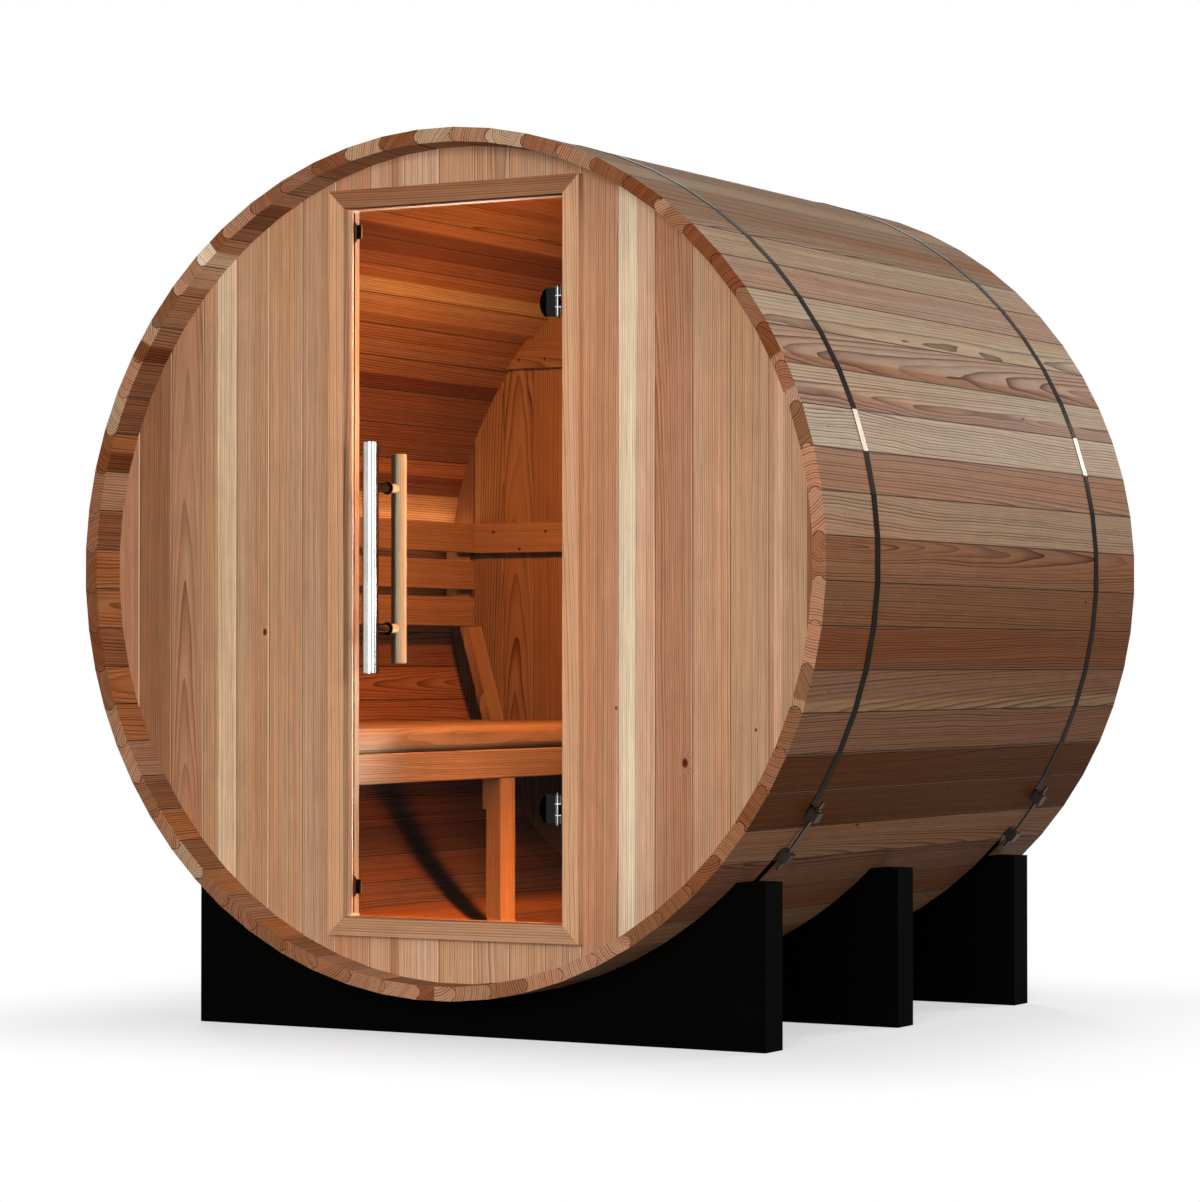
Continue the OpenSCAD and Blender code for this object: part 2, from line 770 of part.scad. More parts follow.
cradle_front();
cradle_middle();
cradle_back();
staves_top();
staves_upper_right();
staves_right();
staves_lower_right();
staves_bottom();
staves_lower_left();
staves_left();
staves_upper_left();
front_wall_left();
front_wall_right();
front_wall_over_door();
front_wall_under_door();
back_wall();
hoop_front();
hoop_back();
hoop_front_tensioner();
hoop_back_tensioner();
door_jamb_left();
door_jamb_right();
door_head();
door_sill();
door_trim_left();
door_trim_right();
door_trim_top();
door_trim_bottom();
door_glass();
hinge_upper_frame_leaf();
hinge_upper_glass_plate();
hinge_lower_frame_leaf();
hinge_lower_glass_plate();
door_handle_tube();
door_handle_grip();
door_catch_upper();
door_catch_lower();
bench_seat();
bench_fascia();
bench_legs();
bench_bearers();
backrest_slats();
backrest_uprights();
backrest_legs();
backrest_light_strip();
back_wall_batten_upper();
back_wall_batten_middle();
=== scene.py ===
"""Barrel sauna: finishes, small fittings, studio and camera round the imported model.

Metres. +X is right, +Y goes from the door into the cabin, +Z is up.
"""

import logging
import math
from dataclasses import dataclass
from enum import Enum
from typing import Sequence, Union

import bpy
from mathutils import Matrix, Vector


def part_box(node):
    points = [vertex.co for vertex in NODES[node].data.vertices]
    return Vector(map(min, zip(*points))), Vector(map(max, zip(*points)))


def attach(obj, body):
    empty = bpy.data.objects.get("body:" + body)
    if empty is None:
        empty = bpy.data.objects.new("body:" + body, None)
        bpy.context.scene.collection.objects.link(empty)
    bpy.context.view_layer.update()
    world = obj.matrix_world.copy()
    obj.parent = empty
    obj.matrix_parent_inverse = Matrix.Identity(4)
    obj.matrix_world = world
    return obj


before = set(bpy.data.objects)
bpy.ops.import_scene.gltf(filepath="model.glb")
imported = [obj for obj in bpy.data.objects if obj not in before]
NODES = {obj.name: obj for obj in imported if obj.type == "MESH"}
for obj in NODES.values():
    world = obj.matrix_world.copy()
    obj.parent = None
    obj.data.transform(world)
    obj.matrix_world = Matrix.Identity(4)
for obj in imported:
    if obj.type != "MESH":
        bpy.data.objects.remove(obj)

log = logging.getLogger("sauna")
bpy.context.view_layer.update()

AXIS_Z = 1.0004
OUTER_FLAT_R = 0.9133
STAVE_T = 0.030
STAVE_COUNT = 64
BOARD_W = 0.0873


class Tone(Enum):
    """Shades of cedar, from sapwood to dark heartwood, as sRGB hex."""

    SAPWOOD = "C8A98A"
    CREAM = "D6B99C"
    HONEY = "C3977A"
    TAN = "B08464"
    PEACH = "B4886A"
    PINK = "AC7B5D"
    ROSE = "A6755A"
    BROWN = "9E7054"
    UMBER = "8C5D41"
    SAND = "AE8C70"
    BLEACHED = "C0A48C"
    PALE_SAND = "B89A80"
    DUSTY = "B4907A"
    KHAKI = "A88468"
    MAUVE = "A07A65"
    DUSK = "A07C62"
    OLIVE = "9A7456"
    GREY_BROWN = "8A6049"
    RUST = "8A5A41"
    RUSSET = "8A563C"
    RED_BROWN = "744126"
    COPPER = "A66840"
    BARK = "5E3416"
    PALE = "DDB692"
    CHESTNUT = "7C4A2E"
    WALNUT = "7E5338"
    AMBER = "C18F6C"


class Run(Enum):
    """The axis along which a board's grain runs, as (along, across, depth) letters."""

    ALONG_X = "XZY"
    ALONG_Y = "YXZ"
    ALONG_Z = "ZXY"
    ALONG_Y_ON_EDGE = "YZX"
    ALONG_Z_ON_EDGE = "ZYX"


Colour = tuple[float, float, float, float]
Point = tuple[float, float, float]


def linear(tone: Union[Tone, str]) -> Colour:
    """Turn a tone or an sRGB hex colour into a linear colour.

    Args:
        tone: a named tone or six hex digits.

    Returns:
        The linear red, green, blue and an alpha of 1.
    """
    digits = tone.value if isinstance(tone, Tone) else tone
    levels = [int(digits[i:i + 2], 16) / 255 for i in (0, 2, 4)]
    parts = [c / 12.92 if c <= 0.04045 else ((c + 0.055) / 1.055) ** 2.4 for c in levels]
    return (parts[0], parts[1], parts[2], 1.0)


def scaled(tone: str, factor: float) -> Colour:
    """Return an sRGB hex colour's linear form with its brightness multiplied."""
    red, green, blue, _ = linear(tone)
    return (factor * red, factor * green, factor * blue, 1.0)


def shades(names: str) -> tuple[Tone, ...]:
    """Return the tones whose names stand in a line of words."""
    return tuple(Tone[name] for name in names.split())


class Term:
    """One value in a shader graph, on which plain arithmetic adds nodes."""

    def __init__(self, graph: "Graph", socket: bpy.types.NodeSocket) -> None:
        """Keep the graph and the socket that gives the value."""
        self.graph = graph
        self.socket = socket

    def __add__(self, other: "Value") -> "Term":
        """Return the sum."""
        return self.graph.math("ADD", self, other)

    __radd__ = __add__

    def __sub__(self, other: "Value") -> "Term":
        """Return the difference."""
        return self.graph.math("SUBTRACT", self, other)

    def __rsub__(self, other: "Value") -> "Term":
        """Return the difference taken from a number."""
        return self.graph.math("SUBTRACT", other, self)

    def __mul__(self, other: "Value") -> "Term":
        """Return the product."""
        return self.graph.math("MULTIPLY", self, other)

    __rmul__ = __mul__

    def __truediv__(self, other: "Value") -> "Term":
        """Return the quotient."""
        return self.graph.math("DIVIDE", self, other)

    def __neg__(self) -> "Term":
        """Return the negative."""
        return self.graph.math("MULTIPLY", self, -1.0)


Value = Union[Term, float]


class Graph:
    """A material's node tree, written as expressions."""

    def __init__(self, tree: bpy.types.NodeTree) -> None:
        """Keep the tree and clear it."""
        self.tree = tree
        tree.nodes.clear()

    def node(self, kind: str, **settings: object) -> bpy.types.Node:
        """Add a node.

        Args:
            kind: the node's type name.
            settings: attributes to set on it.

        Returns:
            The new node.
        """
        made = self.tree.nodes.new(kind)
        for name, value in settings.items():
            setattr(made, name, value)
        return made

    def put(self, socket: bpy.types.NodeSocket, value: object) -> None:
        """Link a term to a socket, or set a constant on the socket itself.

        Args:
            socket: the input to fill.
            value: a term, a number, a colour or a vector.
        """
        if isinstance(value, Term):
            self.tree.links.new(value.socket, socket)
        else:
            socket.default_value = value

    def math(self, operation: str, *values: Value) -> Term:
        """Add a Math node.

        Args:
            operation: the node's operation.
            values: its inputs in order.

        Returns:
            Its result.
        """
        made = self.node("ShaderNodeMath", operation=operation)
        for socket, value in zip(made.inputs, values):
            self.put(socket, value)
        return Term(self, made.outputs[0])

    def place(self) -> tuple[Term, Term, Term]:
        """Return the object's own X, Y and Z coordinates."""
        coordinates = self.node("ShaderNodeTexCoord")
        return self.split(Term(self, coordinates.outputs["Object"]))

    def split(self, vector: Term) -> tuple[Term, Term, Term]:
        """Return the three parts of a vector or colour."""
        parts = self.node("ShaderNodeSeparateXYZ")
        self.put(parts.inputs[0], vector)
        return tuple(Term(self, socket) for socket in parts.outputs)

    def join(self, x: Value, y: Value, z: Value) -> Term:
        """Return a vector made of three values."""
        made = self.node("ShaderNodeCombineXYZ")
        for socket, value in zip(made.inputs, (x, y, z)):
            self.put(socket, value)
        return Term(self, made.outputs[0])

    def normal(self) -> tuple[Term, Term, Term]:
        """Return the face normal's parts in the object's frame."""
        return self.split(Term(self, self.node("ShaderNodeNewGeometry").outputs["True Normal"]))

    def noise(self, x: Value, y: Value, z: Value, detail: float = 2.0, rough: float = 0.5) -> Term:
        """Sample smooth noise at a scaled place.

        Args:
            x: first coordinate, in noise cells.
            y: second coordinate, in noise cells.
            z: third coordinate, in noise cells.
            detail: octaves added to the first.
            rough: how much each octave weighs.

        Returns:
            A value about 0.5, mostly within 0.25 and 0.75.
        """
        made = self.node("ShaderNodeTexNoise", noise_dimensions="3D")
        self.put(made.inputs["Vector"], self.join(x, y, z))
        made.inputs["Scale"].default_value = 1.0
        made.inputs["Detail"].default_value = detail
        made.inputs["Roughness"].default_value = rough
        return Term(self, made.outputs[0])

    def dice(self, seed: Value) -> tuple[Term, Term, Term]:
        """Return three random values from 0 to 1 that depend on a seed alone."""
        made = self.node("ShaderNodeTexWhiteNoise", noise_dimensions="1D")
        self.put(made.inputs["W"], seed)
        return self.split(Term(self, made.outputs["Color"]))

    def ramp(self, low: float, high: float, value: Term) -> Term:
        """Rise smoothly from 0 at low to 1 at high.

        Args:
            low: the value that gives 0.
            high: the value that gives 1, which may be below low.
            value: what is compared.

        Returns:
            A value from 0 to 1.
        """
        made = self.node("ShaderNodeMapRange", interpolation_type="SMOOTHSTEP")
        turned = low > high
        for socket, item in zip(made.inputs, (value, min(low, high), max(low, high))):
            self.put(socket, item)
        made.inputs[3].default_value = 1.0 if turned else 0.0
        made.inputs[4].default_value = 0.0 if turned else 1.0
        return Term(self, made.outputs[0])

    def mix(self, share: Value, first: object, second: object, way: str = "MIX") -> Term:
        """Blend two colours.

        Args:
            share: how much of the second shows.
            first: the colour at 0.
            second: the colour at 1.
            way: how the second is laid over the first.

        Returns:
            The blended colour.
        """
        made = self.node("ShaderNodeMix", data_type="RGBA", blend_type=way)
        for socket, item in zip((made.inputs[0], made.inputs[6], made.inputs[7]), (share, first, second)):
            self.put(socket, item)
        return Term(self, made.outputs[2])

    def tint(self, colour: object, by: object, share: Value = 1.0) -> Term:
        """Multiply a colour by another.

        Args:
            colour: the colour that is tinted.
            by: the colour that it is multiplied by.
            share: how much of the tint shows.

        Returns:
            The tinted colour.
        """
        return self.mix(share, colour, by, "MULTIPLY")

    def scale(self, colour: Term, by: Term) -> Term:
        """Return a colour with its brightness multiplied by a value."""
        made = self.node("ShaderNodeVectorMath", operation="SCALE")
        self.put(made.inputs[0], colour)
        self.put(made.inputs["Scale"], by)
        return Term(self, made.outputs[0])

    def steps(self, share: Term, colours: Sequence[Colour]) -> Term:
        """Give each equal step of a value from 0 to 1 a colour of its own.

        Args:
            share: the value.
            colours: one colour for each step, 32 at most.

        Returns:
            The step's colour.
        """
        return self.strip(share, [(k / len(colours), c) for k, c in enumerate(colours)], "CONSTANT")

    def strip(self, share: Term, stops: Sequence[tuple[float, Colour]], way: str) -> Term:
        """Look a value up in a strip of colours.

        Args:
            share: the value, from 0 to 1.
            stops: the place and the colour of each stop in order, 32 at most.
            way: the interpolation between stops.

        Returns:
            The colour.
        """
        made = self.node("ShaderNodeValToRGB")
        row = made.color_ramp
        row.interpolation = way
        while len(row.elements) < len(stops):
            row.elements.new(1.0)
        for element, (place, colour) in zip(row.elements, stops):
            element.position = place
            element.color = colour
        self.put(made.inputs[0], share)
        return Term(self, made.outputs[0])

    def bump(self, height: Term, strength: float, distance: float) -> Term:
        """Turn a height into a normal.

        Args:
            height: the height, from 0 to 1.
            strength: how much it shows.
            distance: what a height of 1 measures.

        Returns:
            The normal.
        """
        made = self.node("ShaderNodeBump")
        made.inputs["Strength"].default_value = strength
        made.inputs["Distance"].default_value = distance
        self.put(made.inputs["Height"], height)
        return Term(self, made.outputs[0])

    def surface(self, **inputs: object) -> None:
        """Add a Principled shader and the output.

        Args:
            inputs: its inputs by name, with underscores for spaces.
        """
        shader = self.node("ShaderNodeBsdfPrincipled")
        for name, value in inputs.items():
            self.put(shader.inputs[name.replace("_", " ")], value)
        self.show(Term(self, shader.outputs[0]))

    def show(self, shader: Term) -> None:
        """Send a shader to the material's output."""
        output = self.node("ShaderNodeOutputMaterial")
        self.put(output.inputs["Surface"], shader)


def new_material(name: str) -> tuple[bpy.types.Material, Graph]:
    """Start a node material.

    Args:
        name: the material's name.

    Returns:
        The material and its empty graph.
    """
    made = bpy.data.materials.new(name)
    made.use_nodes = True
    return made, Graph(made.node_tree)


@dataclass
class Spot:
    """Where a point lies on its own board, in metres."""

    along: Term
    across: Term
    depth: Term
    index: Term
    joint: Term
    end: Term

    def strand(
        self, graph: Graph, fine: float, long: float, detail: float = 2.0, rough: float = 0.5
    ) -> Term:
        """Sample noise that is drawn out along the grain and differs from board to board.

        Args:
            graph: the material's graph.
            fine: cells in a metre across the grain.
            long: cells in a metre along it.
            detail: octaves added to the first.
            rough: how much each octave weighs.

        Returns:
            A value about 0.5.
        """
        shift = self.index * 3.17
        return graph.noise(self.across * fine + shift, self.along * long, self.depth * fine, detail, rough)


@dataclass(frozen=True)
class StaveLay:
    """Staves round the barrel, with a bead on one edge and a cove on the other."""

    bead_r: float = 0.0125
    bead_inset: float = 0.0035

    def spot(self, graph: Graph) -> Spot:
        """Find a point's stave and its place on it.

        Args:
            graph: the material's graph.

        Returns:
            The place, with the joint distance to the real bead-and-cove line.
        """
        x, y, z = graph.place()
        up = z - AXIS_Z
        step = 2 * math.pi / STAVE_COUNT
        turn = graph.math("ARCTAN2", x, up) / step
        reach = graph.math("SQRT", x * x + up * up)
        joint = graph.math("FLOOR", turn)
        swing = (turn - joint - 0.5) * step
        sideways = reach * graph.math("SINE", swing)
        outward = reach * graph.math("COSINE", swing) - (OUTER_FLAT_R - STAVE_T / 2)
        shift = sideways - self.bead_inset
        bead = graph.math("SQRT", shift * shift + outward * outward) - self.bead_r
        edge = graph.math("MINIMUM", -sideways, bead)
        index = joint + graph.math("LESS_THAN", edge, 0.0)
        middle = (turn - index) * step
        side = graph.math("ABSOLUTE", graph.normal()[1])
        return Spot(
            along=y,
            across=reach * graph.math("SINE", middle),
            depth=reach * graph.math("COSINE", middle) - OUTER_FLAT_R,
            index=index,
            joint=graph.math("ABSOLUTE", edge),
            end=graph.ramp(0.6, 0.8, side),
        )


@dataclass(frozen=True)
class BoardLay:
    """Flat boards side by side, or a single one."""

    run: Run
    low: Point
    pitch: float = 0.0
    seed: float = 0.0

    def spot(self, graph: Graph) -> Spot:
        """Find a point's board and its place on it.

        Args:
            graph: the material's graph.

        Returns:
            The place, counted from the low corner of the first board.
        """
        letters = "XYZ"
        coordinates = graph.place()
        normals = graph.normal()
        order = [letters.index(c) for c in self.run.value]
        along, across, depth = (coordinates[i] - self.low[i] for i in order)
        end = graph.ramp(0.6, 0.8, graph.math("ABSOLUTE", normals[order[0]]))
        if not self.pitch:
            far = graph.math("ABSOLUTE", across) + 1.0
            return Spot(along, across, depth, graph.math("ADD", self.seed, 0.0), far, end)
        board = graph.math("FLOOR", across / self.pitch)
        inside = across - board * self.pitch
        edge = graph.math("MINIMUM", inside, self.pitch - inside)
        return Spot(along, inside - self.pitch / 2, depth, board + self.seed, edge, end)


@dataclass(frozen=True)
class Knot:
    """A knot at a place on the boards, seen as an oval."""

    index: float
    along: float
    across: float
    radius: float


@dataclass(frozen=True)
class Streak:
    """A stripe of another tone that runs along one board."""

    index: float
    low: float
    high: float
    tone: Tone


@dataclass(frozen=True)
class Cedar:
    """Planed red cedar, with rings that run through the solid board."""

    name: str
    tones: tuple[Tone, ...]
    other_tones: tuple[Tone, ...] = ()
    end_tones: tuple[Tone, ...] = ()
    ring: float = 0.0046
    spread: float = 0.34
    figure: float = 1.0
    contrast: float = 0.7
    sharp: float = 2.2
    deep: float = 0.42
    rough: float = 0.55
    line: float = 0.0009
    line_dark: float = 0.85
    # Strength of the painted highlight beside the joints.
    painted_arris_highlight: float = 0.0
    fine: float = 1.0
    end_deep: float = 0.8
    end_tint: str = "F2DCBC"
    pith_near: float = 0.015
    pith_range: float = 0.07
    late_tint: str = "B58B72"
    knot_tint: str = "8A5A42"
    crack_tint: Colour = (0.07, 0.04, 0.025, 1.0)
    warm: Colour = (1.04, 1.0, 0.93, 1.0)
    cool: Colour = (0.95, 1.06, 1.1, 1.0)
    streak_edge: float = 0.003
    knots: tuple[Knot, ...] = ()
    streaks: tuple[Streak, ...] = ()

    def base(self, graph: Graph, spot: Spot) -> Term:
        """Pick the board's own tone.

        Args:
            graph: the material's graph.
            spot: the point's place.

        Returns:
            The tone's colour. The end grain draws one of end_tones by lot, if there are any.
        """
        face = self.pick(graph, spot, self.tones, self.other_tones)
        if not self.end_tones:
            return graph.mix(spot.end, face, graph.tint(face, linear(self.end_tint)))
        lot = graph.dice(spot.index * 0.91 + 2.7)[0]
        return graph.mix(spot.end, face, graph.steps(lot, [linear(t) for t in self.end_tones]))

    def pick(self, graph: Graph, spot: Spot, tones: tuple[Tone, ...], others: tuple[Tone, ...]) -> Term:
        """Look a board's tone up by its index.

        Args:
            graph: the material's graph.
            spot: the point's place.
            tones: the tones from index 0 on.
            others: the tones from index 0 downwards, if negative ones have their own.

        Returns:
            The tone's colour.
        """
        count = len(tones)
        if count == 1:
            return graph.mix(0.0, linear(tones[0]), linear(tones[0]))
        if not others:
            return graph.steps((spot.index + 0.5) / count, [linear(t) for t in tones])
        share = (graph.math("ABSOLUTE", spot.index) + 0.5) / count
        right = graph.steps(share, [linear(t) for t in tones])
        left = graph.steps(share, [linear(t) for t in others])
        return graph.mix(graph.math("LESS_THAN", spot.index, -0.5), right, left)

    def knot_field(self, graph: Graph, spot: Spot) -> Term:
        """Add up the knots near a point.

        Args:
            graph: the material's graph.
            spot: the point's place.

        Returns:
            About 1 in the middle of a knot, falling to 0 round it.
        """
        total: Value = 0.0
        for knot in self.knots:
            other = graph.math("ABSOLUTE", spot.index - knot.index)
            a = (spot.across - knot.across) / knot.radius
            b = (spot.along - knot.along) / (1.5 * knot.radius)
            near = graph.math("EXPONENT", -(a * a + b * b) - other * 40.0)
            total = near + total
        return total

    def striped(self, graph: Graph, spot: Spot, colour: Term, wave: Term) -> Term:
        """Lay the streaks over the boards' own tones.

        Args:
            graph: the material's graph.
            spot: the point's place.
            colour: the boards' tones.
            wave: how far the streaks' edges stray.

        Returns:
            The colour with its streaks.
        """
        place = spot.across + wave
        soft = self.streak_edge
        for streak in self.streaks:
            other = graph.math("ABSOLUTE", spot.index - streak.index)
            inside = graph.ramp(streak.low - soft, streak.low + soft, place)
            inside = inside * graph.ramp(streak.high + soft, streak.high - soft, place)
            share = inside * graph.math("LESS_THAN", other, 0.5)
            colour = graph.mix(share, colour, linear(streak.tone))
        return colour

    def rings(self, graph: Graph, spot: Spot, drift: Term, knot: Value) -> Term:
        """Count the rings from the board's own pith, which lies at a random place under it.

        Args:
            graph: the material's graph.
            spot: the point's place.
            drift: slow noise that makes the rings wander.
            knot: how near a knot is.

        Returns:
            The distance from the pith in rings.
        """
        roll = graph.dice(spot.index * 1.37 + 0.11)
        wander = (drift - 0.5) * (0.03 * self.figure) + knot * 0.03
        sideways = spot.across + wander - (roll[0] - 0.5) * self.spread
        lean = (roll[2] - 0.5) * (0.08 * self.figure)
        rise = spot.depth + self.pith_near + roll[1] * self.pith_range + spot.along * lean + wander
        return graph.math("SQRT", sideways * sideways + rise * rise) / self.ring

    def material(self, lay: Union[StaveLay, BoardLay]) -> bpy.types.Material:
        """Build the material for boards that lie in a given way.

        Args:
            lay: how the boards lie.

        Returns:
            The material.
        """
        made, g = new_material(self.name)
        spot = lay.spot(g)
        tone = g.dice(spot.index * 2.11 + 5.3)
        shift = spot.index * 3.17
        drift = spot.strand(g, 8, 1.1, 3.0)
        knot = self.knot_field(g, spot) if self.knots else 0.0
        rings = self.rings(g, spot, drift, knot)
        year = g.dice(g.math("FLOOR", rings) + shift)
        late = g.math("POWER", g.math("FRACT", rings), self.sharp) * (year[0] * 0.8 + 0.2)
        streak = spot.strand(g, 260, 2.5)
        fibre = spot.strand(g, 800, 10, 2.0, 0.6)
        cloud = g.noise(spot.across * 24, spot.along * 12 + shift, spot.depth * 24, 3.0, 0.6)
        hue = spot.strand(g, 15, 0.7)
        base = self.striped(g, spot, self.base(g, spot), (drift - 0.5) * 0.02)
        cast = g.mix(g.ramp(0.3, 0.7, hue), self.warm, self.cool)
        level = tone[0] * 0.1 + 1.05 + (hue - 0.5) * 0.3
        level = level + (streak - 0.5) * (0.5 * self.fine) + (fibre - 0.5) * (0.7 * self.fine)
        level = level + (cloud - 0.5) * 0.3
        level = level * (1.0 - late * (spot.end * (self.end_deep - self.deep) + self.deep))
        colour = g.tint(g.scale(base, level), cast)
        colour = g.tint(colour, linear(self.late_tint), late * self.contrast)
        if self.knots:
            colour = g.tint(colour, linear(self.knot_tint), g.ramp(0.45, 0.85, knot))
        # Painted highlight: a cream band a millimetre or two beside each joint, where the grooved edge
        # would catch the light; its strength varies by board and by ring.
        if self.painted_arris_highlight:
            arris_highlight_band = g.ramp(0.0026, 0.0018, spot.joint) * g.ramp(0.0005, 0.0012, spot.joint)
            share = arris_highlight_band * (year[1] * 0.2 + tone[1]) * (1.0 - spot.end) * self.painted_arris_highlight
            colour = g.mix(share, colour, linear(Tone.CREAM))
        crack = g.ramp(self.line, self.line * 0.4, spot.joint * (spot.end * 1.4 + 1.0))
        colour = g.tint(colour, self.crack_tint, crack * self.line_dark)
        height = fibre * 0.35 - late * 0.25 - crack * 1.2
        g.surface(
            Base_Color=colour,
            Roughness=g.ramp(0.2, 0.8, fibre) * 0.14 + (self.rough - 0.07),
            Specular_IOR_Level=0.02,
            Normal=g.bump(height, 0.25, 0.0006),
        )
        return made


def dress(material: bpy.types.Material, *names: str) -> None:
    """Give CAD nodes a material in place of their plain one.

    Args:
        material: the finish.
        names: the nodes.
    """
    for name in names:
        piece = NODES[name]
        piece.data.materials.clear()
        piece.data.materials.append(material)


@dataclass(frozen=True)
class BlackStain:
    """Matt black stained timber with faint grain."""

    name: str = "black_stain"

    def material(self) -> bpy.types.Material:
        """Return the material."""
        made, g = new_material(self.name)
        x, y, z = g.place()
        grain = g.noise(x * 5, y * 260, z * 260, 3.0)
        cloud = g.noise(x * 3, y * 3, z * 3)
        g.surface(
            Base_Color=g.mix(grain, linear("020202"), linear("050403")),
            Roughness=cloud * 0.2 + 0.6,
            Specular_IOR_Level=0.01,
            Normal=g.bump(grain, 0.25, 0.0006),
        )
        return made


@dataclass(frozen=True)
class Steel:
    """Brushed or polished metal."""

    name: str
    colour: str
    rough: float
    edge: str = "FFFFFF"
    brushed: Point = (40.0, 900.0, 900.0)

    def material(self) -> bpy.types.Material:
        """Return the material."""
        made, g = new_material(self.name)
        x, y, z = g.place()
        sx, sy, sz = self.brushed
        scratch = g.noise(x * sx, y * sy, z * sz, 2.0)
        smear = g.noise(x * 14, y * 14, z * 14)
        g.surface(
            Base_Color=g.mix(g.ramp(0.3, 0.7, smear), scaled(self.colour, 0.82), linear(self.colour)),
            Metallic=1.0,
            Specular_Tint=linear(self.edge),
            Roughness=scratch * 0.12 + smear * 0.08 + self.rough,
            Normal=g.bump(scratch, 0.05, 0.0001),
        )
        return made


@dataclass(frozen=True)
class HingeMetal:
    """Black coat on the leaves, with a polished knuckle and pale washers round the pin."""

    name: str
    pin: tuple[float, float]
    middles: tuple[float, float]
    knuckle_l: float
    knuckle_r: float = 0.0085

    def material(self) -> bpy.types.Material:
        """Return the material."""
        made, g = new_material(self.name)
        x, y, z = g.place()
        dx, dy = x - self.pin[0], y - self.pin[1]
        off = g.math("SQRT", dx * dx + dy * dy)
        polished = g.ramp(self.knuckle_r + 0.0003, self.knuckle_r, off)
        upper, lower = (g.math("ABSOLUTE", z - middle) for middle in self.middles)
        near = g.math("ABSOLUTE", g.math("MINIMUM", upper, lower) - self.knuckle_l / 2)
        washer = g.ramp(0.0013, 0.0009, near) * polished
        grit = g.noise(x * 1400, y * 1400, z * 1400, 2.0)
        coat = g.mix(grit, linear("070707"), linear("101010"))
        metal = g.mix(polished, coat, linear("5A5A5C"))
        g.surface(
            Base_Color=g.mix(washer, metal, linear("E8E8E4")),
            Metallic=polished * (1.0 - washer),
            Roughness=grit * 0.1 + (0.42 - polished * 0.25),
            Specular_IOR_Level=0.12,
            Normal=g.bump(grit, 0.08, 0.0001),
        )
        return made


@dataclass(frozen=True)
class ClearGlass:
    """Clear toughened door glass."""

    name: str = "door_glass"

    def material(self) -> bpy.types.Material:
        """Return the material."""
        made, g = new_material(self.name)
        x, y, z = g.place()
        wipe = g.noise(x * 6, y * 6, z * 1.5, 3.0)
        g.surface(
            Base_Color=g.mix(g.ramp(0.35, 0.65, wipe), linear("F6FAF8"), linear("F1F6F4")),
            Transmission_Weight=1.0,
            IOR=1.45,
            Specular_Tint=(0.02, 0.02, 0.02, 1.0),
            Roughness=0.0,
        )
        return made


@dataclass(frozen=True)
class Moulded:
    """Moulded or painted black surface with a fine texture."""

    name: str
    colour: str = "0A0A0A"
    rough: float = 0.45

    def material(self) -> bpy.types.Material:
        """Return the material."""
        made, g = new_material(self.name)
        x, y, z = g.place()
        grit = g.noise(x * 1400, y * 1400, z * 1400, 2.0)
        g.surface(
            Base_Color=g.mix(grit, linear(self.colour), scaled(self.colour, 1.6)),
            Roughness=grit * 0.1 + self.rough,
            Specular_IOR_Level=0.15,
            Normal=g.bump(grit, 0.1, 0.0001),
        )
        return made


@dataclass(frozen=True)
class WarmDiffuser:
    """Diffuser of the warm light strip behind the backrest."""

    name: str = "warm_diffuser"
    strength: float = 6.0
    bead_pitch: float = 0.016

    def material(self) -> bpy.types.Material:
        """Return the material."""
        made, g = new_material(self.name)
        x, y, z = g.place()
        beads = g.math("SINE", y * (2 * math.pi / self.bead_pitch)) * 0.15 + 0.85
        g.surface(
            Base_Color=linear("E8C9A0"),
            Roughness=0.6,
            Emission_Color=g.scale(g.mix(0.0, linear("FFD296"), linear("FFD296")), beads),
            Emission_Strength=self.strength,
        )
        return made


